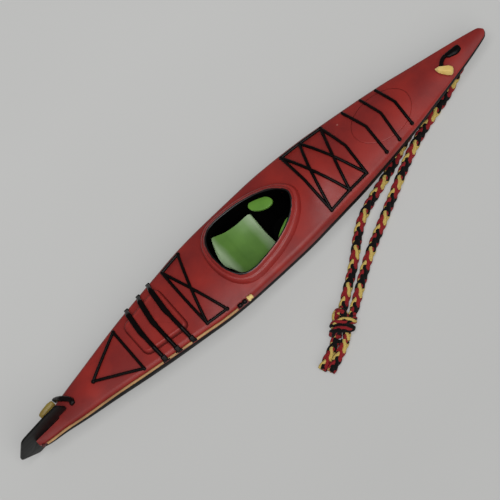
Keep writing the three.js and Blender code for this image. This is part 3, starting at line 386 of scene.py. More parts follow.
def slab(name, one_side, other_side):
    """A flat body between two outlines with the same number of points."""
    count = len(one_side)
    faces = [tuple(range(count)), tuple(range(count, 2 * count))]
    faces += [(j, (j + 1) % count, (j + 1) % count + count, j + count) for j in range(count)]
    return object_from(name, one_side + other_side, faces)


def prism(name, outline, low, high):
    return slab(name, [(p[0], p[1], low) for p in outline], [(p[0], p[1], high) for p in outline])


def block(name, low, high):
    corners = [(low[0], low[1]), (high[0], low[1]), (high[0], high[1]), (low[0], high[1])]
    return prism(name, corners, low[2], high[2])


def turned(name, outline, start, direction, sides=32, wobble=0.0, phase=0.0):
    """A turned body: its outline is pairs of place along the axis and radius."""
    direction = Vector(direction).normalized()
    aside = direction.orthogonal().normalized()
    upward = direction.cross(aside)
    rings = []
    for along, radius in outline:
        middle = Vector(start) + direction * along
        ring = []
        for angle in circle_angles(sides, phase):
            out = radius * (1 + wobble * math.sin(3 * angle + along * 2.3))
            ring.append(around(middle, aside, upward, out, angle))
        rings.append(ring)
    return loft(name, rings)


def tube(name, line, radius, sides):
    """A plain round tube along a line of points."""
    angles = circle_angles(sides)
    return loft(name, [[around(*place, radius, angle) for angle in angles] for place in frames(line)])


def finished(piece):
    """The piece with its modifiers worked into its mesh."""
    bpy.context.view_layer.update()
    depsgraph = bpy.context.evaluated_depsgraph_get()
    mesh = bpy.data.meshes.new_from_object(piece.evaluated_get(depsgraph))
    piece.modifiers.clear()
    piece.data = mesh
    return piece


def cut(piece, tool, operation="DIFFERENCE"):
    """Cuts the piece with the tool and removes the tool."""
    modifier = piece.modifiers.new("cut", "BOOLEAN")
    modifier.operation = operation
    modifier.solver = "MANIFOLD"
    modifier.object = tool
    finished(piece)
    bpy.data.objects.remove(tool)
    return piece


def rounded(piece, width, segments=3, angle=40):
    """Rounds a piece's edges that are sharper than the angle."""
    modifier = piece.modifiers.new("rounding", "BEVEL")
    modifier.width = width * MM
    modifier.segments = segments
    modifier.limit_method = "ANGLE"
    modifier.angle_limit = math.radians(angle)
    modifier.harden_normals = False
    return finished(piece)


def mark_points(mesh, name, values):
    mesh.attributes.new(name, "FLOAT", "POINT").data.foreach_set("value", values)


def stand_for(piece, node_name, body="boat"):
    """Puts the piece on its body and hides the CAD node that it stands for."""
    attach(piece, body)
    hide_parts(node_name)
    return piece


def dress(piece, node_name, material, angle=50, body="boat"):
    """Paints a piece and shades it smooth, with edges kept that are sharper than the angle."""
    bpy.context.view_layer.update()
    piece.data.shade_smooth()
    piece.data.set_sharp_from_angle(angle=math.radians(angle))
    piece.data.materials.clear()
    piece.data.materials.append(material)
    return stand_for(piece, node_name, body)


def paint_faces(piece, material, chosen):
    """Gives the chosen faces a second material."""
    piece.data.materials.append(material)
    for face in piece.data.polygons:
        if chosen(face):
            face.material_index = 1


# Finishes


def feed(tree, inputs, values):
    """Sets inputs to their values; an input whose value is a socket is linked."""
    for name, value in values.items():
        if isinstance(value, bpy.types.NodeSocket):
            tree.links.new(value, inputs[name])
        else:
            inputs[name].default_value = value


def node(tree, kind, inputs=None, output=0, **settings):
    """Adds a node with its inputs and settings, and returns one of its outputs."""
    made = tree.nodes.new(kind)
    for name, value in settings.items():
        setattr(made, name, value)
    feed(tree, made.inputs, inputs or {})
    return made.outputs[output]


def reckon(tree, operation, *values):
    return node(tree, "ShaderNodeMath", dict(enumerate(values)), operation=operation)


def blotches(tree, place, scale, detail=4.0):
    wanted = {"Vector": place, "Scale": scale, "Detail": detail, "Roughness": 0.55}
    return node(tree, "ShaderNodeTexNoise", wanted)


def between(tree, amount, low, high, first=0, second=1):
    """A ramp from the first value to the second while the amount goes from low to high."""
    wanted = {"Value": amount, "From Min": low, "From Max": high, "To Min": first, "To Max": second}
    return node(tree, "ShaderNodeMapRange", wanted)


def clouded(tree, place, scale, first, second, detail=4.0):
    """A value that drifts between two in soft blotches."""
    return between(tree, blotches(tree, place, scale, detail), 0.3, 0.7, first, second)


def blend_colors(tree, amount, first, second):
    wanted = {0: amount}
    for index, color in ((6, first), (7, second)):
        wanted[index] = color if isinstance(color, bpy.types.NodeSocket) else (*color, 1)
    return node(tree, "ShaderNodeMix", wanted, 2, data_type="RGBA")


def mottled(tree, place, scale, first, second):
    """Two shades of a paint in soft blotches."""
    return blend_colors(tree, between(tree, blotches(tree, place, scale), 0.35, 0.65), first, second)


def bump(tree, height, strength, distance):
    return node(tree, "ShaderNodeBump", {"Height": height, "Strength": strength, "Distance": distance})


def stored(tree, name):
    """A value that the mesh keeps at its points."""
    return node(tree, "ShaderNodeAttribute", output="Fac", attribute_name=name)


def new_material(name):
    """A material with its tree, its shader's inputs and the object's own coordinates."""
    material = bpy.data.materials.new(name)
    material.use_nodes = True
    tree = material.node_tree
    tree.nodes.clear()
    shader = tree.nodes.new("ShaderNodeBsdfPrincipled")
    tree.links.new(shader.outputs["BSDF"], tree.nodes.new("ShaderNodeOutputMaterial").inputs["Surface"])
    return material, tree, shader.inputs, node(tree, "ShaderNodeTexCoord", output="Object")


# Painted shade: the dark red mixed into the paint where the mesh's stored value asks for it, and how strongly
PAINTED_SHADE_COLOR = (0.05, 0.006, 0.006)
PAINTED_SHADE_STRENGTH = 0.75


def brushed_paint(name, color, shade, roughness, grain=0.00002, coat=0.12, shine=0.35, nicks=None):
    """Hand-brushed paint: soft blotches of a second shade and fine grain.

    Paint with nicks shows a paler coat in small spots, and painted shade, a dark red mixed in where the mesh
    asks for it.
    """
    material, tree, inputs, place = new_material(name)
    paint = mottled(tree, place, 110, color, shade)
    if nicks:
        spots = node(tree, "ShaderNodeTexVoronoi", {"Vector": place, "Scale": 150, "Randomness": 1})
        near = between(tree, spots, 0.025, 0.045, 1, 0)
        rare = between(tree, blotches(tree, place, 70), 0.62, 0.66)
        paint = blend_colors(tree, reckon(tree, "MULTIPLY", near, rare), paint, nicks)
        # Painted shade: darker where the mesh's stored value is higher
        paint = blend_colors(tree, between(tree, stored(tree, "painted_shade"), 0, 1, 0, PAINTED_SHADE_STRENGTH), paint, PAINTED_SHADE_COLOR)
    height = reckon(tree, "ADD", blotches(tree, place, 1600, 6), blotches(tree, place, 260, 2))
    wanted = {
        "Base Color": paint,
        "Roughness": clouded(tree, place, 420, roughness - 0.05, roughness + 0.07),
        "Normal": bump(tree, height, 0.35, grain),
        "Specular IOR Level": shine,
        "Coat Weight": coat,
        "Coat Roughness": 0.2,
    }
    feed(tree, inputs, wanted)
    return material


def seat_paint():
    """Glossy green with a painted highlight, a paler band, towards the seat's front and back edges."""
    material, tree, inputs, place = new_material("seat_paint")
    along = node(tree, "ShaderNodeSeparateXYZ", {"Vector": place}, "X")
    wavy = reckon(tree, "MULTIPLY_ADD", blotches(tree, place, 300), 0.0012, -0.0006)
    shifted = reckon(tree, "ADD", along, wavy)
    # Painted highlights: pale bands along the seat's front and back edges
    front = between(tree, shifted, -0.0012, 0.001)
    back = between(tree, shifted, -0.0106, -0.009, 1, 0)
    painted_highlight = between(tree, reckon(tree, "MAXIMUM", front, back), 0, 1, 0, 0.75)
    green = mottled(tree, place, 160, (0.125, 0.26, 0.05), (0.1, 0.215, 0.042))
    wanted = {
        "Base Color": blend_colors(tree, painted_highlight, green, (0.33, 0.43, 0.27)),
        "Roughness": clouded(tree, place, 500, 0.36, 0.48),
        "Normal": bump(tree, blotches(tree, place, 900, 5), 0.3, 0.00003),
        "Specular IOR Level": 0.25,
        "Coat Weight": 0.12,
        "Coat Roughness": 0.25,
    }
    feed(tree, inputs, wanted)
    return material


def rimmed_red_paint():
    """The coaming's paint: red outside, with the cockpit's black brushed up to its inner edge."""
    material, tree, inputs, place = new_material("rimmed_red_paint")
    uneven = reckon(tree, "MULTIPLY_ADD", blotches(tree, place, 300, 3), 0.4, -0.19)
    black = between(tree, reckon(tree, "ADD", stored(tree, "across"), uneven), 0.24, 0.27, 1, 0)
    red = mottled(tree, place, 110, (0.31, 0.026, 0.021), (0.23, 0.021, 0.019))
    wanted = {
        "Base Color": blend_colors(tree, black, red, (0.004, 0.003, 0.003)),
        "Roughness": clouded(tree, place, 420, 0.28, 0.4),
        "Normal": bump(tree, blotches(tree, place, 1200, 5), 0.35, 0.00002),
        "Specular IOR Level": 0.26,
        "Coat Weight": 0.25,
        "Coat Roughness": 0.2,
    }
    feed(tree, inputs, wanted)
    return material


def plate_metal():
    """Dark thin sheet with a dull sheen and fine rolling lines, darker towards its front."""
    material, tree, inputs, place = new_material("plate_metal")
    drawn = node(tree, "ShaderNodeMapping", {"Vector": place, "Scale": (60, 400, 1400)})
    lines = blotches(tree, drawn, 1, 5)
    dark = blend_colors(tree, clouded(tree, place, 180, 0, 1), (0.007, 0.007, 0.0065), (0.014, 0.014, 0.013))
    along = node(tree, "ShaderNodeSeparateXYZ", {"Vector": place}, "X")
    wanted = {
        "Base Color": blend_colors(tree, between(tree, along, -0.084, -0.074), dark, (0.003, 0.003, 0.003)),
        "Roughness": between(tree, lines, 0.3, 0.7, 0.38, 0.55),
        "Normal": bump(tree, lines, 0.25, 0.00002),
        "Metallic": 0.15,
        "Specular IOR Level": 0.25,
    }
    feed(tree, inputs, wanted)
    return material


def pin_metal():
    """The pin's metal under dark red paint that is worn through in spots."""
    material, tree, inputs, place = new_material("pin_metal")
    marks = blotches(tree, place, 2400, 4)
    worn = between(tree, marks, 0.63, 0.69)
    wanted = {
        "Base Color": blend_colors(tree, worn, (0.08, 0.011, 0.011), (0.5, 0.42, 0.38)),
        "Roughness": between(tree, marks, 0.3, 0.7, 0.3, 0.5),
        "Metallic": 0.3,
    }
    feed(tree, inputs, wanted)
    return material


def yarn(name, color, shade):
    """Soft spun yarn: fine fibres along the strand, darker between them."""
    material, tree, inputs, place = new_material(name)
    laid = reckon(tree, "MULTIPLY_ADD", stored(tree, "along"), 420.0, stored(tree, "around"))
    ridges = reckon(tree, "SINE", reckon(tree, "MULTIPLY", laid, 44.0))
    depth = reckon(tree, "MULTIPLY_ADD", ridges, 0.35, blotches(tree, place, 5200, 5))
    wanted = {
        "Base Color": blend_colors(tree, between(tree, depth, 0.1, 0.9), shade, color),
        "Normal": bump(tree, depth, 0.6, 0.00008),
        "Roughness": 0.9,
        "Specular IOR Level": 0.15,
        "Sheen Weight": 0.05,
        "Sheen Roughness": 0.5,
    }
    feed(tree, inputs, wanted)
    return material


def white_card():
    """A pale translucent table, faintly lit from below and a little more at the back."""
    material, tree, inputs, place = new_material("white_card")
    cloud = clouded(tree, place, 9, 0, 1, 2)
    back = node(tree, "ShaderNodeSeparateXYZ", {"Vector": place}, "Y")
    wanted = {
        "Base Color": blend_colors(tree, cloud, (0.305, 0.305, 0.3), (0.315, 0.315, 0.31)),
        "Emission Color": (1, 1, 0.985, 1),
        "Emission Strength": between(tree, back, -0.07, 0.07, 0.217, 0.283),
        "Roughness": 0.9,
        "Specular IOR Level": 0.2,
    }
    feed(tree, inputs, wanted)
    return material


red_paint = brushed_paint(
    "red_paint",
    (0.315, 0.027, 0.021),
    (0.22, 0.022, 0.02),
    0.38,
    coat=0.05,
    shine=0.22,
    nicks=(0.42, 0.16, 0.13),
)
black_paint = brushed_paint(
    "black_paint", (0.003, 0.002, 0.002), (0.005, 0.003, 0.004), 0.45, coat=0, shine=0.05
)
black_line_paint = brushed_paint(
    "black_line_paint", (0.003, 0.002, 0.002), (0.007, 0.004, 0.004), 0.28, 0.00005, coat=0.01, shine=0.09
)
inside_black = brushed_paint(
    "inside_black", (0.001, 0.001, 0.001), (0.002, 0.002, 0.002), 0.9, coat=0, shine=0
)
tan_paint = brushed_paint("tan_paint", (0.52, 0.3, 0.12), (0.3, 0.15, 0.06), 0.5, 0.00005, coat=0.04)
ochre_paint = brushed_paint("ochre_paint", (0.7, 0.46, 0.11), (0.82, 0.62, 0.24), 0.42, 0.00006)
olive_paint = brushed_paint("olive_paint", (0.44, 0.37, 0.08), (0.33, 0.23, 0.05), 0.45, 0.00006)
green_pad = brushed_paint("pad_paint", (0.13, 0.3, 0.04), (0.09, 0.22, 0.03), 0.35, coat=0.1, shine=0.25)
green_seat = seat_paint()
rim_paint = rimmed_red_paint()
dark_plate = plate_metal()
worn_pin = pin_metal()
# Yarns in the order of the numbers that the strands' points carry
YARNS = {
    "red": yarn("red_yarn", (0.33, 0.02, 0.024), (0.15, 0.008, 0.01)),
    "black": yarn("black_yarn", (0.006, 0.005, 0.005), (0.002, 0.002, 0.002)),
    "yellow": yarn("yellow_yarn", (0.66, 0.5, 0.15), (0.4, 0.27, 0.06)),
}

# Mouldings

COCKPIT_START = STERN + 0.4206 * HULL_LENGTH
COCKPIT_LENGTH = 25.4
COCKPIT_HALF = 8.6
# Half outline of the opening: shares of its length from aft and of its half width
COCKPIT = [(0, 0), (0.012, 0.36), (0.047, 0.66), (0.09, 0.83), (0.15, 0.95), (0.245, 1), (0.37, 0.975)]
COCKPIT += [(0.495, 0.93), (0.6, 0.86), (0.734, 0.73), (0.85, 0.545), (0.94, 0.33), (1, 0)]
COAMING_WIDTH = 2.5
COAMING_HEIGHT = 2.2
COAMING_FOOT = -0.1
# Section of the coaming from its inner to its outer foot: shares of its width and height
COAMING = [(0, 0), (0, 0.4), (0, 0.72), (0.08, 0.93), (0.2, 1), (0.34, 0.92), (0.46, 0.72), (0.56, 0.62)]
COAMING += [(0.68, 0.62), (0.82, 0.5), (0.92, 0.28), (1, 0)]
WELL_FLOOR = 1.4
WELL_TOP = 11
WELL_START = COCKPIT_START - 1.1
WELL_LENGTH = 1.1 + COCKPIT_LENGTH + 9
WELL_HALF = 9.6
# Half outline of the well under the opening, by the same rule
WELL = [(0, 0), (0.01, 0.42), (0.05, 0.76), (0.13, 0.96), (0.25, 1), (0.5, 1)]
WELL += [(0.66, 0.93), (0.82, 0.78), (0.94, 0.58), (1, 0.3), (1, 0)]
# The well's width at shares of its height
WELL_SIDE = [(0, 0.7), (0.05, 0.79), (0.16, 0.88), (0.28, 0.96), (0.42, 1), (1, 1)]
# A height over every part of the boat
ABOVE_ALL = 18.6
SEAT_START = COCKPIT_START + 1.4
SEAT_LENGTH = 13.2
SEAT_HALF = 7
SEAT_LOW = 6.5
SEAT_BACK_RISE = 4.1
SEAT_SIDE_RISE = 1.5
SEAT_HOLLOW = 0.8
SEAT_BULGE = 1.05
# The seat from back to front: share of its length, of its half width, and height
SEAT = [
    (0, 0.55, 1),
    (0.05, 0.8, 1),
    (0.1, 0.97, 0.98),
    (0.19, 1, 0.72),
    (0.3, 0.99, 0.46),
    (0.4, 0.985, 0.27),
    (0.64, 0.975, 0.05),
    (0.93, 0.985, -0.02),
    (0.975, 0.96, -0.04),
    (1, 0.9, -0.06),
]
# Plan outlines of the pieces under the coaming: shares along the opening and out to its side
BRACE_START = COCKPIT_START + COCKPIT_LENGTH * 0.59
BRACE_LENGTH = COCKPIT_LENGTH * 0.27
BRACE_BOTTOM = WELL_TOP + 1.2
BRACE_INNER, BRACE_REACH = 2.8, 5
BRACKET = [(0.02, 1.2), (0, 0.72), (0.14, 0.3), (0.4, 0.04), (0.72, 0), (0.94, 0.2), (1, 0.6), (0.95, 1.2)]
STARBOARD_PAD = [(0.02, 1.2), (0.06, 0.9), (0.3, 0.62), (0.6, 0.42), (0.86, 0.3), (0.98, 0.34), (0.99, 1.2)]
PORT_PAD_MIDDLE = Vector((5.6, 4.2, 0))
PORT_PAD_HALF = (3.4, 1.85)
PORT_PAD_TURN = math.radians(-33)
# Fore hatch: middle, half length, half width. Aft hatch: back, front, half widths there
FORE_HATCH = (44.6, 9.0, 6.6)
LID_BACK, LID_FRONT = -42.8, -29.8
LID_BACK_HALF, LID_FRONT_HALF = 5.2, 7.1
LID_CORNER = 1.6
LID_SPREAD = 0.25
# The lid's side from its foot up: inset and height above the deck
LID_SIDE = [(-0.48, 0.12), (-0.46, 0.4), (-0.38, 0.75), (-0.24, 1.08), (-0.06, 1.36), (0.12, 1.55)]
LID_SIDE += [(0.3, 1.63), (0.5, 1.64), (0.75, 1.57), (1.1, 1.54)]
SLOT_HALF = 0.55
SLOT_GAP = 0.25
PIN = Vector((-79.2, 8.3))
PIN_HOLE = 0.36
BLADE_LOW = (-86.6, 2.3)
BLADE_SIZE = (18.6, 13.2)
# Outline of the rudder plate: shares of its size
BLADE = [(0, 0.295), (0.269, 0), (0.452, 0.045), (0.5, 0.24), (0.585, 0.545), (0.985, 0.625), (1, 0.66)]
BLADE += [(0.925, 0.965), (0.9, 0.985), (0.645, 0.965), (0.215, 0.856)]
BLADE_POINTS = [
    Vector((BLADE_LOW[0] + a * BLADE_SIZE[0], BLADE_LOW[1] + b * BLADE_SIZE[1])) for a, b in BLADE
]
# How far the plate reaches from its pin, at its tail and in all
BLADE_TAIL = max((point - PIN).length for point in BLADE_POINTS[:4])
BLADE_REACH = max((point - PIN).length for point in BLADE_POINTS)


def stations(count):
    """Places along the boat, closer together towards its ends."""
    return [STERN + HULL_LENGTH * (1 - math.cos(math.pi * i / count)) / 2 for i in range(count + 1)]


def bow_narrowing(x):
    """Share of the boat's width that is left where the bow's end is rounded."""
    into = (x - BOW) / BOW_ROUNDING + 1
    return math.sqrt(max(1 - max(into, 0) ** 2, 0.03))


def deck_ring(x):
    beam, top_half = half_beam(x), deck_at(x)[-1]
    tops = [top_half * math.sin(math.pi / 2 * i / 14) for i in range(15)]
    port = [(x, y, deck_height(x, y)) for y in tops]
    port += [tuple(on_shoulder(x, 1, (i + 1) / 5, 0)) for i in range(5)]
    low = port[-1][2]
    port += [(x, beam, low + (seam_at(x) - low) * (i + 1) / 3) for i in range(3)]
    port = [(a, b * bow_narrowing(x), c) for a, b, c in port]
    return port + [(a, -b, c) for a, b, c in reversed(port[1:])]


def hull_ring(x):
    """A section of the hull, fuller amidships and drawn to a vee towards the ends."""
    beam, seam = half_beam(x), seam_at(x)
    keel = boat_share(KEEL_SHARE, x) * SEAM_HEIGHT
    vee = limited((abs((x - STERN) / HULL_LENGTH - 0.5) - 0.12) / 0.26)
    strip = min(3, beam * 0.24) * (1 - vee * 0.6)
    turn = [(full + (drawn - full) * vee, down) for full, drawn, down in HULL_SECTION]
    turn = [Vector((0, out * beam, seam - down * (seam - keel))) for out, down in turn]
    line = catmull_rom(turn + [Vector((0, strip, keel))], False, 4)
    port = [(x, p.y * bow_narrowing(x), max(p.z, keel)) for p in line]
    return port + [(a, -b, c) for a, b, c in reversed(port)]


def well_tool(inset):
    """The cockpit's well as a solid, drawn in by an inset."""
    rings = []
    for up, wide in WELL_SIDE:
        height = WELL_FLOOR + up * (SEAM_HEIGHT - WELL_FLOOR) if up < 1 else WELL_TOP
        start, length = WELL_START + inset, WELL_LENGTH - inset * 2
        outline = mirrored_outline(WELL, start, length, WELL_HALF * wide - inset, 96)
        rings.append([(p.x, p.y, height) for p in outline])
    return loft("well_tool", rings)


def opening_tool(inset):
    start, length = COCKPIT_START + inset, COCKPIT_LENGTH - inset * 2
    outline = mirrored_outline(COCKPIT, start, length, COCKPIT_HALF - inset, 160)
    return prism("opening_tool", outline, SEAM_HEIGHT, ABOVE_ALL)


def slot_tool():
    return block("slot_tool", (STERN - 4, -SLOT_HALF, -4), (PIN.x + BLADE_TAIL + SLOT_GAP, SLOT_HALF, 22))


def outline_middle(outline):
    return sum((Vector(p[:2]) for p in outline), Vector((0, 0))) / len(outline)


def outward_normals(outline):
    """Unit normals of a closed plan outline, pointing away from its middle."""
    middle = outline_middle(outline)
    normals = []
    for i, place in enumerate(outline):
        step = Vector(outline[(i + 1) % len(outline)][:2]) - Vector(outline[i - 1][:2])
        normal = Vector((step.y, -step.x)).normalized()
        if normal.dot(Vector(place[:2]) - middle) < 0:
            normal.negate()
        normals.append(normal)
    return normals


def deck_body(name, outline, profile, inner=8, crown=0.0):
    """A body over a plan outline that follows the deck.

    The profile goes up its side: pairs of inset and height above the deck. Its first height is also the
    underside's and its last the top's, which rises by the crown towards the middle.
    """
    normals = outward_normals(outline)
    middle = outline_middle(outline)

    def ring(inset, height, shrink):
        made = []
        for place, normal in zip(outline, normals):
            at = middle + (Vector(place[:2]) - normal * inset - middle) * shrink
            rise = height + crown * (1 - shrink**2) * (height == profile[-1][1])
            made.append((at.x, at.y, deck_height(at.x, at.y) + rise))
        return made

    rings = [ring(*profile[0], i / inner) for i in range(1, inner)]
    rings += [ring(inset, height, 1) for inset, height in profile]
    rings += [ring(*profile[-1], i / inner) for i in range(inner - 1, 0, -1)]
    return loft(name, rings)


def fore_hatch_oval(growth):
    x, half_length, half_width = FORE_HATCH
    return [Vector((x, 0, 0)) + p for p in oval(half_length + growth, half_width + growth, 128)]


def in_well(x, y):
    return WELL_START - 0.2 < x < WELL_START + WELL_LENGTH + 0.2 and abs(y) < WELL_HALF + 0.2


def make_hull():
    hull = loft("hull_moulding", [hull_ring(x) for x in stations(150)])
    for tool in (well_tool(0), slot_tool(), socket_tool(FORE_LEG), socket_tool(AFT_LEG)):
        cut(hull, tool)

    def inside(face):
        x, y, z = face.center / MM
        facing_in = face.normal.z > 0.1 or face.normal.y * y < -0.01 or abs(face.normal.x) > 0.8
        return in_well(x, y) and facing_in and z > WELL_FLOOR - 0.1

    dress(hull, "hull", black_paint, 35)
    paint_faces(hull, inside_black, inside)


def make_deck():
    deck = loft("deck_moulding", [deck_ring(x) for x in stations(190)])
    recess = deck_body("recess_tool", fore_hatch_oval(0.06), [(0, -1.2), (0, 6)])
    pin_hole = turned("pin_tool", [(0, PIN_HOLE), (26, PIN_HOLE)], (PIN.x, -13, PIN.y), (0, 1, 0))
    for tool in (well_tool(0), opening_tool(0), recess, slot_tool(), pin_hole):
        cut(deck, tool)

    def inside(face):
        x, y, z = face.center / MM
        return in_well(x, y) and (face.normal.z < 0.3 or deck_height(x, y) - z > 0.1)

    dress(deck, "deck", red_paint, 35)
    # Painted shade: the deck's red darkens towards the stern, aft of x = -60 mm
    mark_points(deck.data, "painted_shade", [limited((-60 - v.co.x / MM) / 16) * 0.4 for v in deck.data.vertices])
    paint_faces(deck, inside_black, inside)


def make_coaming():
    outline = mirrored_outline(COCKPIT, COCKPIT_START, COCKPIT_LENGTH, COCKPIT_HALF, 176)
    section = catmull_rom(plan_points(COAMING, 0, 1, 1), False, 4)
    rings = []
    for place, normal in zip(outline, outward_normals(outline)):
        ring = []
        for point in section:
            out = max(point.x, 0) * COAMING_WIDTH
            x, y = place.x + normal.x * out, place.y + normal.y * out
            rise = SEAT_GAP + point.y * COAMING_HEIGHT if point.y > 0.02 else COAMING_FOOT
            ring.append((x, y, deck_height(x, y) + rise))
        rings.append(ring)
    coaming = loft("coaming_rim", rings, closed=True)
    across = [max(p.x, 0) for p in section] * len(outline)
    mark_points(coaming.data, "across", across)

    def inner_edge(face):
        return sum(across[i] for i in face.vertices) / len(face.vertices) < 0.07

    dress(coaming, "coaming", rim_paint, 35)
    paint_faces(coaming, inside_black, inner_edge)


def make_seat():
    """A dished seat with a low back, hollow at its front edge and bowed at its back edge."""
    across = [math.sin(math.pi / 2 * (i / 14 - 1)) for i in range(29)]
    floor = WELL_FLOOR + SEAT_GAP
    wall = floor + (SEAM_HEIGHT - WELL_FLOOR) * 0.256
    rings = []
    for row in catmull_rom([Vector(r) for r in SEAT], False, 6):
        x = SEAT_START + row.x * SEAT_LENGTH
        half = min(row.y, 1) * SEAT_HALF
        bow = SEAT_HOLLOW * max(row.x - 0.7, 0) / 0.3 + SEAT_BULGE * max(0.2 - row.x, 0) / 0.2
        height = SEAT_LOW + row.z * SEAT_BACK_RISE
        top = [(x - bow * (1 - a * a), a * half, height + SEAT_SIDE_RISE * abs(a) ** 2.2) for a in across]
        low = [(0.92, wall), (0.665, floor), (-0.665, floor), (-0.92, wall)]
        rings.append(top + [(x, half * out, z) for out, z in low])
    seat = loft("seat_moulding", rings)
    cut(seat, cut(well_tool(0.3), opening_tool(0.3), "UNION"), "INTERSECT")
    dress(rounded(seat, 0.18), "seat", green_seat)


def brace_outline(side, shape):
    shape = [(a, side * (BRACE_INNER + b * BRACE_REACH)) for a, b in shape]
    return evenly(catmull_rom(plan_points(shape, BRACE_START, BRACE_LENGTH, 1), True, 8), 56, True)


def port_pad_outline():
    """An oval that lies along the port side of the opening."""
    turn = Matrix.Rotation(PORT_PAD_TURN, 3, "Z")
    return [PORT_PAD_MIDDLE + turn @ p for p in oval(*PORT_PAD_HALF, 56)]


def brace_body(name, outline, margin, low, high, rounding):
    """A flat body in the cockpit's opening, from low to high and drawn in from the opening by a margin."""
    body = prism(name, outline, BRACE_BOTTOM + low, BRACE_BOTTOM + high)
    return rounded(cut(body, opening_tool(margin), "INTERSECT"), rounding)


def make_brace(side, name, node_name, pad_outline, margin):
    """A green pad on a black bracket that stands in from the side of the opening."""
    pad = brace_body(name, pad_outline, margin, 0, 0.8, 0.25)
    dress(pad, node_name, green_pad)
    bracket = brace_body("bracket", brace_outline(side, BRACKET), 0.3, 0.05, 0.6, 0.12)
    joined = bmesh.new()
    joined.from_mesh(pad.data)
    count = len(joined.faces)
    joined.from_mesh(bracket.data)
    joined.to_mesh(pad.data)
    joined.free()
    paint_faces(pad, inside_black, lambda face: face.index >= count)
    bpy.data.objects.remove(bracket)


def make_fore_hatch():
    side = [(0, -1.08), (0, -0.12), (0.04, -0.04), (0.12, 0), (0.3, 0)]
    cover = deck_body("fore_hatch_oval", fore_hatch_oval(0), side, 14)
    dress(cover, "fore_hatch_cover", red_paint, 35)


def make_aft_hatch():
    """The tapered lid, with painted shade darkening the lower parts of its sides."""
    places = [(LID_BACK, LID_BACK_HALF - LID_CORNER), (LID_BACK, LID_BACK_HALF)]
    places += [(LID_BACK + LID_CORNER, LID_BACK_HALF + LID_SPREAD)]
    places += [(LID_FRONT - LID_CORNER, LID_FRONT_HALF - LID_SPREAD)]
    places += [(LID_FRONT, LID_FRONT_HALF), (LID_FRONT, LID_FRONT_HALF - LID_CORNER)]
    points = plan_points(places, 0, 1, 1)
    half = bend(*points[:3], 9) + bend(*points[3:], 9)
    line = [Vector((LID_BACK, 0, 0))] + half + [Vector((LID_FRONT, 0, 0))]
    outline = evenly(line + [Vector((p.x, -p.y, 0)) for p in reversed(half)], 144, True)
    lid = deck_body("aft_hatch_lid", outline, LID_SIDE, 14)
    heights = [v.co.z / MM - deck_height(v.co.x / MM, v.co.y / MM) for v in lid.data.vertices]
    # Painted shade: the lower a point lies on the lid's side, the darker its red
    mark_points(lid.data, "painted_shade", [limited((1.5 - height) / 0.7) for height in heights])
    dress(lid, "aft_hatch_cover", red_paint, 60)


# Lines laid on the deck


def open_tree(name, sockets):
    """A node group with its inputs, their identifiers, and the sockets that give their values."""
    tree = bpy.data.node_groups.new(name, "GeometryNodeTree")
    new_socket = tree.interface.new_socket
    names = {
        label: new_socket(name=label, in_out="INPUT", socket_type="NodeSocket" + kind).identifier
        for label, kind in sockets.items()
    }
    new_socket(name="Geometry", in_out="OUTPUT", socket_type="NodeSocketGeometry")
    return tree, names, tree.nodes.new("NodeGroupInput").outputs


def swept(tree, curve, profile, thickness):
    wanted = {"Curve": curve, "Profile Curve": profile, "Scale": thickness, "Fill Caps": True}
    return node(tree, "GeometryNodeCurveToMesh", wanted)


def named(tree, name):
    return node(tree, "GeometryNodeInputNamedAttribute", {"Name": name}, data_type="FLOAT")


def solid(tree, shape):
    shape = node(tree, "GeometryNodeRealizeInstances", {0: shape})
    return node(tree, "GeometryNodeSetShadeSmooth", {0: shape})


def painted_line_tree():
    """Geometry nodes: a round line along loose edges, uneven in thickness, with lumps at its corners."""
    sockets = {"Line": "Geometry", "Radius": "Float", "Lump": "Float", "Uneven": "Float", "Paint": "Material"}
    tree, names, given = open_tree("painted_line", sockets)
    curve = node(tree, "GeometryNodeMeshToCurve", {"Mesh": given["Line"]})
    noise = node(tree, "ShaderNodeTexNoise", {"Scale": 700.0, "Detail": 1.0})
    uneven = reckon(tree, "MULTIPLY_ADD", reckon(tree, "SUBTRACT", noise, 0.5), given["Uneven"], 1.0)
    circle = node(tree, "GeometryNodeCurvePrimitiveCircle", {"Resolution": 14, "Radius": given["Radius"]})
    corners = {"Mesh": given["Line"], "Selection": named(tree, "corner")}
    points = node(tree, "GeometryNodeMeshToPoints", corners)
    ball = node(tree, "GeometryNodeMeshIcoSphere", {"Radius": given["Lump"], "Subdivisions": 3})
    size = node(tree, "FunctionNodeRandomValue", {2: 0.88, 3: 1.15, "Seed": 4}, 1, data_type="FLOAT")
    lumps = node(tree, "GeometryNodeInstanceOnPoints", {"Points": points, "Instance": ball, "Scale": size})
    both = tree.nodes.new("GeometryNodeJoinGeometry")
    for shape in (swept(tree, curve, circle, uneven), lumps):
        tree.links.new(shape, both.inputs[0])
    painted = {"Geometry": solid(tree, both.outputs[0]), "Material": given["Paint"]}
    feed(tree, tree.nodes.new("NodeGroupOutput").inputs, {0: node(tree, "GeometryNodeSetMaterial", painted)})
    return tree, names


LINE_TREE = painted_line_tree()


def along_runs(name, runs, marks, group, values):
    """Loose edges through runs of points, with values at the points, worked into a mesh by a node group."""
    points, edges = [], []
    for run in runs:
        base = len(points)
        points += [Vector(p) * MM for p in run]
        edges += [(base + i, base + i + 1) for i in range(len(run) - 1)]
    mesh = bpy.data.meshes.new(name)
    mesh.from_pydata(points, edges, [])
    for label, numbers in marks.items():
        mark_points(mesh, label, numbers)
    piece = new_object(name, mesh)
    tree, names = group
    modifier = piece.modifiers.new(tree.name, "NODES")
    modifier.node_group = tree
    for label, value in values.items():
        modifier[names[label]] = value
    return finished(piece)


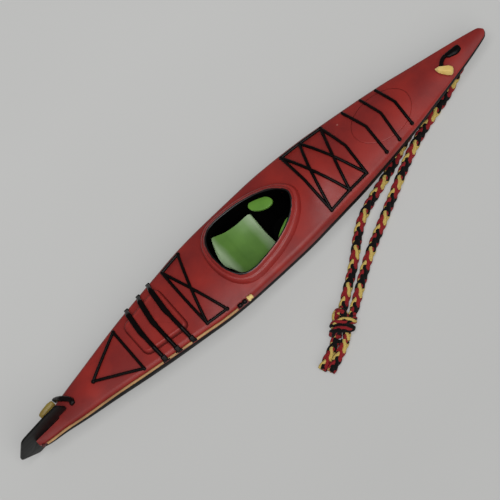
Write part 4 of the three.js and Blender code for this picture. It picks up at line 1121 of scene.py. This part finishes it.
def lay_line(name, node_name, runs, radius, paint=None, corners=(), lump=0.5, uneven=0.16):
    """Turns runs of points into a painted line with lumps at its corners, and dresses it."""
    paint = paint or black_line_paint
    marks = [0.0] * sum(len(run) for run in runs) + [1.0] * len(corners)
    values = {"Radius": radius * MM, "Lump": lump * MM, "Uneven": uneven, "Paint": paint}
    line = along_runs(name, runs + [[corner] for corner in corners], {"corner": marks}, LINE_TREE, values)
    line.data.materials.clear()
    line.data.materials.append(paint)
    return stand_for(line, node_name)


LINE_RADIUS = 0.42
LINE_LUMP = 0.54
# Lines over the deck: piece, CAD node, stretch of the deck, places as shares of the stretch and of the half
# beam, runs from place to place, and how many of the places have a lump of paint, counted from the first
LACINGS = [
    (
        "crossed_lines_fore",
        "foredeck_lacing",
        (15.196, 37.598),
        [
            (0.116, 0.835),
            (0.385, 0.825),
            (0.692, 0.84),
            (0.128, -0.905),
            (0.442, -0.87),
            (0.724, -0.875),
            (0.14, -0.03),
            (0.762, -0.02),
        ],
        [(0, 1, 2), (3, 4, 5), (0, 6, 3), (2, 7, 5), (0, 4), (1, 3), (1, 5), (2, 4)],
        6,
    ),
    (
        "crossed_lines_aft",
        "aft_deck_lacing",
        (-29.8, -15.2),
        [(0.715, 0.85), (0.277, 0.845), (0.715, -0.9), (0.277, -0.9)],
        [(0, 1), (2, 3), (1, 3), (0, 3), (1, 2)],
        4,
    ),
    (
        "stern_triangle_line",
        "stern_deck_line",
        (-64.64, -42.8),
        [(0.865, 0.79), (0.859, -0.89), (0.295, -0.03)],
        [(0, 1), (1, 2), (2, 0)],
        3,
    ),
]
BUNGEE_STRETCH = (35.6, 53.6)
BUNGEES = [
    [(0.19, -0.89), (0.111, 0.85), (0.228, 0.01)],
    [(0.452, -0.915), (0.431, 0.845), (0.52, 0.02)],
    [(0.745, -0.88), (0.695, 0.83), (0.782, 0)],
]
LACINGS += [
    ("bungee_%d" % number, "fore_bungee_%d" % number, BUNGEE_STRETCH, places, [(1, 2, 0)], 1)
    for number, places in enumerate(BUNGEES, 1)
]


def run_over_deck(places):
    """Points above the deck from place to place."""
    flat = [places[0]]
    for a, b in zip(places, places[1:]):
        count = max(4, round((b - a).length / 0.7))
        flat += [a.lerp(b, k / count) for k in range(1, count + 1)]
    return [above_deck(p.x, p.y, LINE_RADIUS + SEAT_GAP) for p in flat]


def lay_lacing(name, node_name, stretch, shares, runs, lumps):
    start, end = stretch
    places = []
    for along, out in shares:
        x = start + along * (end - start)
        places.append(Vector((x, out * half_beam(x))))
    lines = [run_over_deck([places[i] for i in run]) for run in runs]
    corners = [above_deck(p.x, p.y, LINE_LUMP * 0.8) for p in places[:lumps]]
    lay_line(name, node_name, lines, LINE_RADIUS, corners=corners, lump=LINE_LUMP)


# Straps over the lid: shares of the lid's length at the port end, on the ridge and at the starboard end
STRAPS = [(0.93, 0.859, 0.88), (0.626, 0.515, 0.524), (0.262, 0.192, 0.201)]
STRAP_RADIUS = 0.55
STRAP_OVERHANG = 0.45
# The pad on each strap: middle and half length across the boat, and the length over which it widens
PAD_MIDDLE, PAD_HALF_LENGTH, PAD_EASE = 2.6, 4.9, 0.9
# What the pad adds to the strap's half width, half height and lift, and how square it makes it
PAD_WIDER, PAD_TALLER, PAD_LIFT, PAD_SQUARE = 0.16, 0.06, 0.1, 0.45
STRAP_LIFT = 1.6 + STRAP_RADIUS + SEAT_GAP * 2
# The blocks at the straps' ends by side: size, and share of the way round the shoulder
STARBOARD, PORT = -1, 1
ANCHORS = {STARBOARD: ((1.5, 1.6, 0.9), 0.4), PORT: ((1.3, 1.05, 0.5), 0.28)}
SIDE_NAMES = {STARBOARD: "starboard", PORT: "port"}


def strap_x(strap, across):
    port, ridge, starboard = strap
    end = port if across > 0 else starboard
    return LID_BACK + (ridge + (end - ridge) * min(abs(across), 1)) * (LID_FRONT - LID_BACK)


def anchor_at(strap, side):
    x = strap_x(strap, side)
    size, share = ANCHORS[side]
    place = on_shoulder(x, side, share, size[2] / 2 + SEAT_GAP)
    return place, (place - on_shoulder(x, side, share, 0)).normalized()


def make_strap(number, strap):
    """A strap over the lid: a round cord at both ends that widens to a flat pad on the lid."""
    lid_x = strap_x(strap, 0)
    share = (lid_x - LID_BACK) / (LID_FRONT - LID_BACK)
    lid_half = LID_BACK_HALF + (LID_FRONT_HALF - LID_BACK_HALF) * share + STRAP_OVERHANG
    beam = half_beam(lid_x)
    centre = []
    for i in range(41):
        y = -lid_half + 2 * lid_half * i / 40
        x = strap_x(strap, y / beam)
        centre.append(Vector((x, y, deck_height(x, y) + STRAP_LIFT)))
    ends = []
    for side, near in ((STARBOARD, centre[0]), (PORT, centre[-1])):
        place = anchor_at(strap, side)[0]
        ends.append(place + (near - place).normalized() * (ANCHORS[side][0][1] / 2 + SEAT_GAP))
    line = evenly(catmull_rom([ends[0]] + centre + [ends[1]], False, 4), 96)
    rings = []
    for place, aside, upward in frames(line):
        near = limited((PAD_HALF_LENGTH - abs(place.y - PAD_MIDDLE)) / PAD_EASE)
        wide = near * near * (3 - 2 * near)
        half = 0.6 + PAD_WIDER * wide * limited((place.y + 6) / 6)
        tall = STRAP_RADIUS + PAD_TALLER * wide
        power = 1 - PAD_SQUARE * wide
        middle = place + upward * (PAD_LIFT * wide)
        ring = []
        for angle in circle_angles(20):
            c, s = math.cos(angle), math.sin(angle)
            out = aside * (half * math.copysign(abs(c) ** power, c))
            ring.append(middle + out + upward * (tall * math.copysign(abs(s) ** power, s)))
        rings.append(ring)
    piece = loft("lid_strap_%d" % number, rings)
    dress(piece, "hatch_strap_%d" % number, black_line_paint, 60)


RUDDER_LINE_RADIUS = 0.5
CLIP_X = STERN + 0.4028 * HULL_LENGTH
CLIP_LENGTH = 2.9
KNOB_LENGTH = 1.7
FITTING_GAP = 0.3
# Shapes along an axis: shares of the length and of the radius
CLIP = [(0, 0.62), (0.02, 0.8), (0.12, 1), (0.38, 1), (0.48, 0.72), (0.58, 0.72), (0.68, 1), (0.9, 1)]
CLIP += [(0.98, 0.8), (1, 0.6)]
KNOB = [(0, 0.4), (0.04, 0.74), (0.2, 1), (0.36, 0.94), (0.5, 0.7), (0.64, 0.74), (0.8, 0.84)]
KNOB += [(0.94, 0.62), (1, 0.35)]
NUGGET = [(0, 0.12), (0.2, 0.72), (0.42, 0.86), (0.7, 1.04), (0.93, 0.96), (1, 0.5)]
TOGGLE = [(0, 0.5), (0.02, 0.66), (0.1, 0.84), (0.3, 0.98), (0.55, 1), (0.8, 0.92), (0.92, 0.78)]
TOGGLE += [(0.98, 0.62), (1, 0.45)]


def rudder_line():
    first = STERN + 0.012 * HULL_LENGTH
    last = CLIP_X - CLIP_LENGTH / 2 - FITTING_GAP
    places = [first + (last - first) * i / 120 for i in range(121)]
    return [on_shoulder(x, STARBOARD, 0.75, RUDDER_LINE_RADIUS) for x in places]


def make_anchor(number, strap, side):
    place, normal = anchor_at(strap, side)
    half = Vector(ANCHORS[side][0]) / 2
    piece = block("strap_end_%s_%d" % (SIDE_NAMES[side], number), -half, half)
    aside = Vector((1, 0, 0)).cross(normal)
    turn = Matrix((Vector((1, 0, 0)), aside * -1, normal)).transposed().to_4x4()
    piece.data.transform(Matrix.Translation(place * MM) @ turn)
    rounded(piece, 0.3, 4)
    if side == STARBOARD:
        cut(piece, tube("line_tool", rudder_line()[::2], RUDDER_LINE_RADIUS, 16))
    paint = inside_black if side == PORT else black_line_paint
    dress(piece, "strap_anchor_%s_%d" % (SIDE_NAMES[side], number), paint)


def lay_rudder_line():
    """The tan line, with the straps' black brushed over it at their starboard ends."""
    line = lay_line(
        "tan_rudder_line", "rudder_line", [rudder_line()], 0.33, tan_paint, uneven=0.4
    )
    ends = [strap_x(strap, STARBOARD) for strap in STRAPS]

    def under_strap(face):
        return min(abs(face.center.x / MM - end) for end in ends) < 0.85

    paint_faces(line, black_line_paint, under_strap)


def shoulder_fitting(name, node_name, x, length, radius, outline, paint):
    start, end = (on_shoulder(x + step * length / 2, STARBOARD, 0.5, radius + SEAT_GAP) for step in (-1, 1))
    shape = catmull_rom(plan_points(outline, 0, length, radius), False, 4)
    dress(turned(name, [(p.x, p.y) for p in shape], start, end - start, 24), node_name, paint)


def make_toggle(name, node_name, start, end, radius, paint, shape, sides):
    """A whittled toggle: a turned shape with few flat sides."""
    outline = [(a * (end - start).length, b * radius) for a, b in shape]
    piece = rounded(turned(name, outline, start, end - start, sides, 0.06, 0.3), 0.16, 3, 20)
    dress(piece, node_name, paint, 30)


BOW_TOGGLE_LENGTH, BOW_TOGGLE_RADIUS = 4.9, 1.35
BOW_TOGGLE_TURN = 0.78
BOW_TOGGLE_ABAFT, STERN_TOGGLE_ABAFT = 5, 4
STERN_TOGGLE_LENGTH, STERN_TOGGLE_RADIUS = 5.2, 1.15
GRAB_RADIUS = 0.5
GRAB_LIFT = GRAB_RADIUS + SEAT_GAP
BOW_BLOCK_X = STERN + 0.9365 * HULL_LENGTH
STERN_BLOCK_X = PIN.x + BLADE_REACH + 0.4 + 0.9
# The painted blocks under the grab lines: plan outline by its size, size, profile of the side, and the
# number of steps from the side to the middle
BOW_BLOCK = (
    [(0.5, 0.54), (0.5, -0.18), (0.15, -0.38), (-0.35, -0.08), (-0.5, 0.22), (-0.42, 0.62), (0.05, 0.62)],
    (4.8, 2.4),
    [(0, 0.12), (0, 0.45), (0.08, 0.68), (0.25, 0.78), (0.5, 0.82)],
    5,
)
STERN_BLOCK = (
    [(0.5, 0.3), (0.3, -0.5), (-0.4, -0.5), (-0.5, 0.1), (0.1, 0.5)],
    (1.8, 1.4),
    [(0, 0.12), (0, 0.55), (0.08, 0.8), (0.22, 0.9), (0.4, 0.93)],
    4,
)
# The stern line's way over the deck: ahead of its block, and to port
STERN_LINE = [(0.3, 0.1), (0, 1), (-0.7, 2), (-1.5, 2.9)]


def make_line_block(name, node_name, x, shape, size, side, inner):
    outline = soft_corners(plan_points(shape, x, *size), 0.35)
    dress(deck_body(name, outline, side, inner, 0.1), node_name, black_line_paint)


def bow_toggle_ends():
    """The ends of the bow's toggle, laid across the deck abaft its block."""
    middle_x = BOW_BLOCK_X - BOW_TOGGLE_ABAFT
    middle_y = -half_beam(middle_x) * 0.5
    ends = []
    for end in (-1, 1):
        x = middle_x + end * BOW_TOGGLE_LENGTH / 2 * math.cos(BOW_TOGGLE_TURN)
        y = middle_y - end * BOW_TOGGLE_LENGTH / 2 * math.sin(BOW_TOGGLE_TURN)
        limit = half_beam(x) * 0.9
        deck = deck_height(x, limited(y, -limit, limit))
        ends.append(Vector((x, y, deck + BOW_TOGGLE_RADIUS + SEAT_GAP * 2)))
    return ends


def make_bow_fittings():
    make_line_block("bow_line_block", "bow_line_anchor", BOW_BLOCK_X, *BOW_BLOCK)
    first, second = bow_toggle_ends()
    axis = (second - first).normalized()
    middle = (first + second) / 2
    reach = axis * (BOW_TOGGLE_LENGTH / 2)
    make_toggle(
        "toggle_bow", "bow_toggle", middle - reach, middle + reach, BOW_TOGGLE_RADIUS, ochre_paint, NUGGET, 5
    )
    beside = Vector((-axis.y, axis.x, 0)).normalized() * (BOW_TOGGLE_RADIUS * 0.8 + GRAB_RADIUS * 0.5)
    last = first.lerp(second, 0.26) + beside
    x, y = BOW_BLOCK_X - 1.7 - GRAB_RADIUS, 0.75
    shares = [i / 16 for i in range(17)]
    line = [above_deck(x + (last.x - x) * t, y + (last.y - y) * t**2, GRAB_LIFT) for t in shares]
    lay_line("bow_short_line", "bow_grab_line", [line], GRAB_RADIUS + 0.06)


def beside_stern(x):
    return Vector((x, half_beam(x) + STERN_TOGGLE_RADIUS + 0.2, SEAM_HEIGHT + 0.5))


def make_stern_fittings():
    make_line_block("stern_line_block", "stern_line_anchor", STERN_BLOCK_X, *STERN_BLOCK)
    fore_end = STERN_BLOCK_X - STERN_TOGGLE_ABAFT
    start = beside_stern(fore_end)
    astern = (beside_stern(fore_end - STERN_TOGGLE_LENGTH) - start).normalized()
    end = start + astern * STERN_TOGGLE_LENGTH
    make_toggle("toggle_stern", "stern_toggle", start, end, STERN_TOGGLE_RADIUS, olive_paint, TOGGLE, 9)
    over = [above_deck(STERN_BLOCK_X + a, b, GRAB_LIFT) for a, b in STERN_LINE]
    line = evenly(catmull_rom(over + [start - astern * 0.7, start - astern * 0.2], False, 8), 40)
    lay_line("stern_short_line", "stern_grab_line", [line], GRAB_RADIUS + 0.25)


BLADE_HALF = 0.3
BLADE_HOLE = 0.47
# The pin outside the stern's cheek: place beyond the cheek and radius
PIN_HEAD = [(0.3, 0.35), (0.3, 0.45), (0.22, 0.57), (0.1, 0.6), (0, 0.6), (0, 0.35)]


def make_rudder():
    outline = soft_corners([point.to_3d() for point in BLADE_POINTS], 0.16)
    blade = slab("rudder_plate", *([(p.x, y, p.y) for p in outline] for y in (-BLADE_HALF, BLADE_HALF)))
    hole = turned("pin_tool", [(0, BLADE_HOLE), (4, BLADE_HOLE)], (PIN.x, -2, PIN.y), (0, 1, 0), 24)
    blade = rounded(cut(blade, hole), 0.12, 3, 50)
    dress(blade, "rudder_blade", dark_plate, body="rudder")
    cheek = half_beam(PIN.x + 0.6) + SEAT_GAP
    outline = [(-cheek - out, radius) for out, radius in PIN_HEAD]
    outline += [(-place, radius) for place, radius in reversed(outline)]
    pin = turned("rudder_pivot", outline, (PIN.x, 0, PIN.y), (0, 1, 0), 32)
    dress(pin, "rudder_pin", worn_pin, 40)


# Hanging cord: the routes of its two legs from the bow to the knot, and of the knot's two tails

CORD_LIFT = 1.37
FORE_LEG = [
    (71.2, -0.9, 4.55),
    (69.4, -1.45, 4.15),
    (67.2, -2.1, 3.45),
    (65, -2.8, 2.66),
    (62.4, -3.55, 1.86),
    (59.2, -4.4, 1.42),
]
FORE_LEG_ON_TABLE = [(55.4, -5.3), (51.4, -6.35), (47.4, -7.7), (43.4, -9.35), (39.4, -11.3), (35.4, -13.4)]
FORE_LEG_ON_TABLE += [(31, -15.7), (26.2, -18.2), (21.2, -20.8), (16.2, -23.6), (11.4, -26.8), (7.4, -29.6)]
FORE_LEG_ON_TABLE += [(4.2, -31.85)]
AFT_LEG = [
    (66.1, 1.05, 4.15),
    (63.9, 0.35, 3.5),
    (61.6, -0.35, 2.78),
    (59.3, -1.05, 2.06),
    (56.7, -1.75, 1.52),
]
AFT_LEG_ON_TABLE = [(53.6, -2.55), (49.8, -3.6), (46, -4.95), (42.4, -6.4), (38.8, -7.9), (34.8, -9.35)]
AFT_LEG_ON_TABLE += [(30.6, -10.65), (26.4, -12), (22.4, -13.8), (18.8, -16.4), (15.2, -19.6), (11.6, -22.6)]
AFT_LEG_ON_TABLE += [(7.2, -25.8), (2.5, -29.3)]
FORE_LEG += [(x, y, CORD_LIFT) for x, y in FORE_LEG_ON_TABLE]
AFT_LEG += [(x, y, CORD_LIFT) for x, y in AFT_LEG_ON_TABLE]
TAILS = [
    [(-4.1, -33.9), (-5.8, -34.9), (-7.9, -35.9), (-10, -36.8), (-12, -37.6)],
    [(-2.26, -36.53), (-3.96, -37.53), (-6.1, -38.5), (-8.3, -39.4), (-10.4, -40.2)],
]
# How far the first tail is moved towards the second, and the second towards the first
TAILS_CLOSER = Vector((0.16, -0.26, 0))
KNOT_MIDDLE = Vector((0.1, -32.9, 0))
KNOT_AHEAD = Vector((-0.816, -0.578, 0)).normalized()
KNOT_ASIDE = Vector((0.578, -0.816, 0)).normalized()
# Runs in the knot: places along it, across it to the picture's right, and up
KNOT_CORE = [
    [(-3.9, 1.51, 1.37), (-2.2, 1.2, 1.5), (0, 1.0, 1.6), (2.2, 1.3, 1.5), (3.8, 1.6, 1.37)],
    [(-3.9, -1.55, 1.37), (-2.2, -1.2, 1.5), (0, -1.0, 1.6), (2.2, -1.3, 1.5), (3.8, -1.61, 1.37)],
]
KNOT_WRAPS = [
    [(-2.2, 0.4, 1.5), (-2.0, 1.9, 1.6), (-1.6, 2.55, 2.5), (-1.1, 1.7, 3.6), (-0.2, 0, 4.05)]
    + [(0.6, -1.7, 3.6), (1.0, -2.5, 2.5), (1.0, -2.0, 1.4), (0.8, -0.4, 1.3)],
    [(0.2, 0.4, 1.4), (0.4, 1.9, 1.5), (0.7, 2.5, 2.4), (1.2, 1.6, 3.5), (2.0, 0, 3.9), (2.7, -1.6, 3.4)]
    + [(3.0, -2.3, 2.4), (2.9, -1.8, 1.4), (2.6, -0.3, 1.3)],
    [(0.2, -1.6, 1.6), (-0.8, -2.4, 1.9), (-2.2, -2.6, 2.4), (-3.0, -1.8, 3.1), (-2.9, -0.6, 3.5)]
    + [(-2.0, 0.3, 3.5), (-1.0, 0.7, 2.9), (-0.2, 0.7, 2.2)],
]
# Strands of the braid: the way they turn, their quarter of a turn and their yarn
AHEAD, ASTERN = 1, -1
LAY = [(AHEAD, 0, "yellow"), (AHEAD, 1, "red"), (AHEAD, 2, "black"), (AHEAD, 3, "red")]
LAY += [(ASTERN, 0, "black"), (ASTERN, 1, "black"), (ASTERN, 2, "yellow"), (ASTERN, 3, "red")]
DARK_LAY = [(way, quarter, "black" if kind == "yellow" else kind) for way, quarter, kind in LAY]
ROW_TURN = -1.17
BRAID_STEP = 0.34
# Length over which a strand goes once round, and the strands' radius
LEG_TURN, KNOT_TURN = 10.4, 10
LEG_STRAND, TAIL_STRAND, KNOT_STRAND = 0.55, 0.53, 0.46


def socket_tool(route):
    points = [Vector(p) for p in route[:5]]
    deepest = points[0] + (points[0] - points[1]).normalized() * 0.3
    return tube("socket_tool", catmull_rom([deepest] + points, False, 5), CORD_RADIUS + 0.3, 24)


def laid_strand_tree():
    """Geometry nodes: round strands along loose edges, each with the yarn that its points name."""
    sockets = {"Strands": "Geometry", "Radius": "Float"} | {name: "Material" for name in YARNS}
    tree, names, given = open_tree("laid_strand", sockets)
    place = tree.nodes.new("GeometryNodeSplineParameter").outputs

    def stored_on(shape, name, value):
        wanted = {"Geometry": shape, "Name": name, "Value": value}
        return node(tree, "GeometryNodeStoreNamedAttribute", wanted, data_type="FLOAT", domain="POINT")

    curve = node(tree, "GeometryNodeMeshToCurve", {"Mesh": given["Strands"]})
    circle = node(tree, "GeometryNodeCurvePrimitiveCircle", {"Resolution": 10, "Radius": given["Radius"]})
    run = stored_on(curve, "along", place["Length"])
    profile = stored_on(circle, "around", place["Factor"])
    shown = solid(tree, swept(tree, run, profile, named(tree, "swell")))
    kind = named(tree, "yarn")
    for number, name in enumerate(YARNS):
        wanted = {0: kind, 1: float(number), "Epsilon": 0.25}
        mine = node(tree, "FunctionNodeCompare", wanted, data_type="FLOAT", operation="EQUAL")
        painted = {"Geometry": shown, "Selection": mine, "Material": given[name]}
        shown = node(tree, "GeometryNodeSetMaterial", painted)
    feed(tree, tree.nodes.new("NodeGroupOutput").inputs, {0: shown})
    return tree, names


STRAND_TREE = laid_strand_tree()


def braid(line, size, turn_length, start, lay=LAY):
    """Centre lines, swellings and yarns of a round braid of eight strands, each over two and under two.

    The strands of one hand lie on top along two sides of the cord and those of the other hand along the
    sides between, which gives the rows of slanting stitches. A black core fills the middle.
    """
    length = sum((b - a).length for a, b in zip(line, line[1:]))
    count = max(8, round(length / BRAID_STEP))
    placed = frames(evenly(line, count))
    strands = [([place for place, _, _ in placed], [0.9] * count, "black")]
    for way, quarter, kind in lay:
        run, swell = [], []
        for i, place in enumerate(placed):
            turn = 2 * math.pi * i * length / (count - 1) / turn_length + start
            angle = way * turn + quarter * math.pi / 2
            wave = way * math.cos(2 * angle - math.pi / 4)
            run.append(around(*place, size * (0.7 + 0.09 * wave), angle + ROW_TURN))
            swell.append(1 + 0.04 * wave)
        strands.append((run, swell, kind))
    return strands


def strand_object(name, node_name, strands, radius):
    """One dressed object with all the strands, made round by the geometry nodes."""
    numbers = {kind: float(number) for number, kind in enumerate(YARNS)}
    marks = {
        "swell": [amount for _, swell, _ in strands for amount in swell],
        "yarn": [numbers[kind] for run, _, kind in strands for _ in run],
    }
    runs = [run for run, _, _ in strands]
    piece = along_runs(name, runs, marks, STRAND_TREE, {"Radius": radius * MM} | YARNS)
    return stand_for(piece, node_name)


def make_knot():
    strands = []
    for size, runs, start, step in ((0.85, KNOT_CORE, 0, 1.3), (0.82, KNOT_WRAPS, 0.9, 1.1)):
        for number, run in enumerate(runs):
            line = [KNOT_MIDDLE + KNOT_AHEAD * a + KNOT_ASIDE * b + Vector((0, 0, c)) for a, b, c in run]
            lay = DARK_LAY if run is KNOT_WRAPS[1] else LAY
            strands += braid(catmull_rom(line, False, 10), size, KNOT_TURN, start + number * step, lay)
    return strand_object("knot_wraps", "cord_knot", strands, KNOT_STRAND)


def make_cord():
    knot_and_tails = [make_knot()]
    for number, (route, side) in enumerate(zip(TAILS, (1, -1)), 1):
        line = catmull_rom([Vector((x, y, CORD_LIFT)) + TAILS_CLOSER * side for x, y in route], False, 10)
        strands = braid(line, 0.98, KNOT_TURN, number * 1.7)
        tail = strand_object("cut_end_%d" % number, "cord_tail_%d" % number, strands, TAIL_STRAND)
        knot_and_tails.append(tail)
    for name, node_name, route, length, start, extra in (
        ("braided_leg_fore", "cord_leg_fore", FORE_LEG, 0.0748, 0.4, knot_and_tails),
        ("braided_leg_aft", "cord_leg_aft", AFT_LEG, 0.0718, 2.0, []),
    ):
        line = catmull_rom([Vector(p) for p in route], False, 12)
        leg = strand_object(name, node_name, braid(line, 1, LEG_TURN, start), LEG_STRAND)
        tuple(Vector(route[0]) * MM)
        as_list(extra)


# Half the floor's side, in metres
FLOOR_HALF = 1


def lay_floor():
    mesh = bpy.data.meshes.new("floor")
    corners = [Vector((a, b, 0)) * FLOOR_HALF for a, b in ((-1, -1), (1, -1), (1, 1), (-1, 1))]
    mesh.from_pydata(corners, [], [(0, 1, 2, 3)])
    floor = new_object("floor", mesh)
    floor.data.materials.append(white_card())


make_hull()
make_deck()
make_coaming()
make_seat()
make_brace(PORT, "thigh_pad_port", "thigh_brace_port", port_pad_outline(), 0.6)
starboard_pad = brace_outline(STARBOARD, STARBOARD_PAD)
make_brace(STARBOARD, "thigh_pad_starboard", "thigh_brace_starboard", starboard_pad, 0.42)
make_fore_hatch()
make_aft_hatch()
for lacing in LACINGS:
    lay_lacing(*lacing)
for strap_number, strap_places in enumerate(STRAPS, 1):
    make_strap(strap_number, strap_places)
    make_anchor(strap_number, strap_places, PORT)
    make_anchor(strap_number, strap_places, STARBOARD)
lay_rudder_line()
shoulder_fitting(
    "line_clip", "rudder_line_clip", CLIP_X, CLIP_LENGTH, 0.62, CLIP, black_line_paint
)
KNOB_X = CLIP_X + CLIP_LENGTH / 2 + FITTING_GAP + KNOB_LENGTH / 2
shoulder_fitting(
    "line_knob", "rudder_line_knob", KNOB_X, KNOB_LENGTH, 0.8, KNOB, ochre_paint
)
make_bow_fittings()
make_stern_fittings()
make_rudder()
make_cord()
lay_floor()
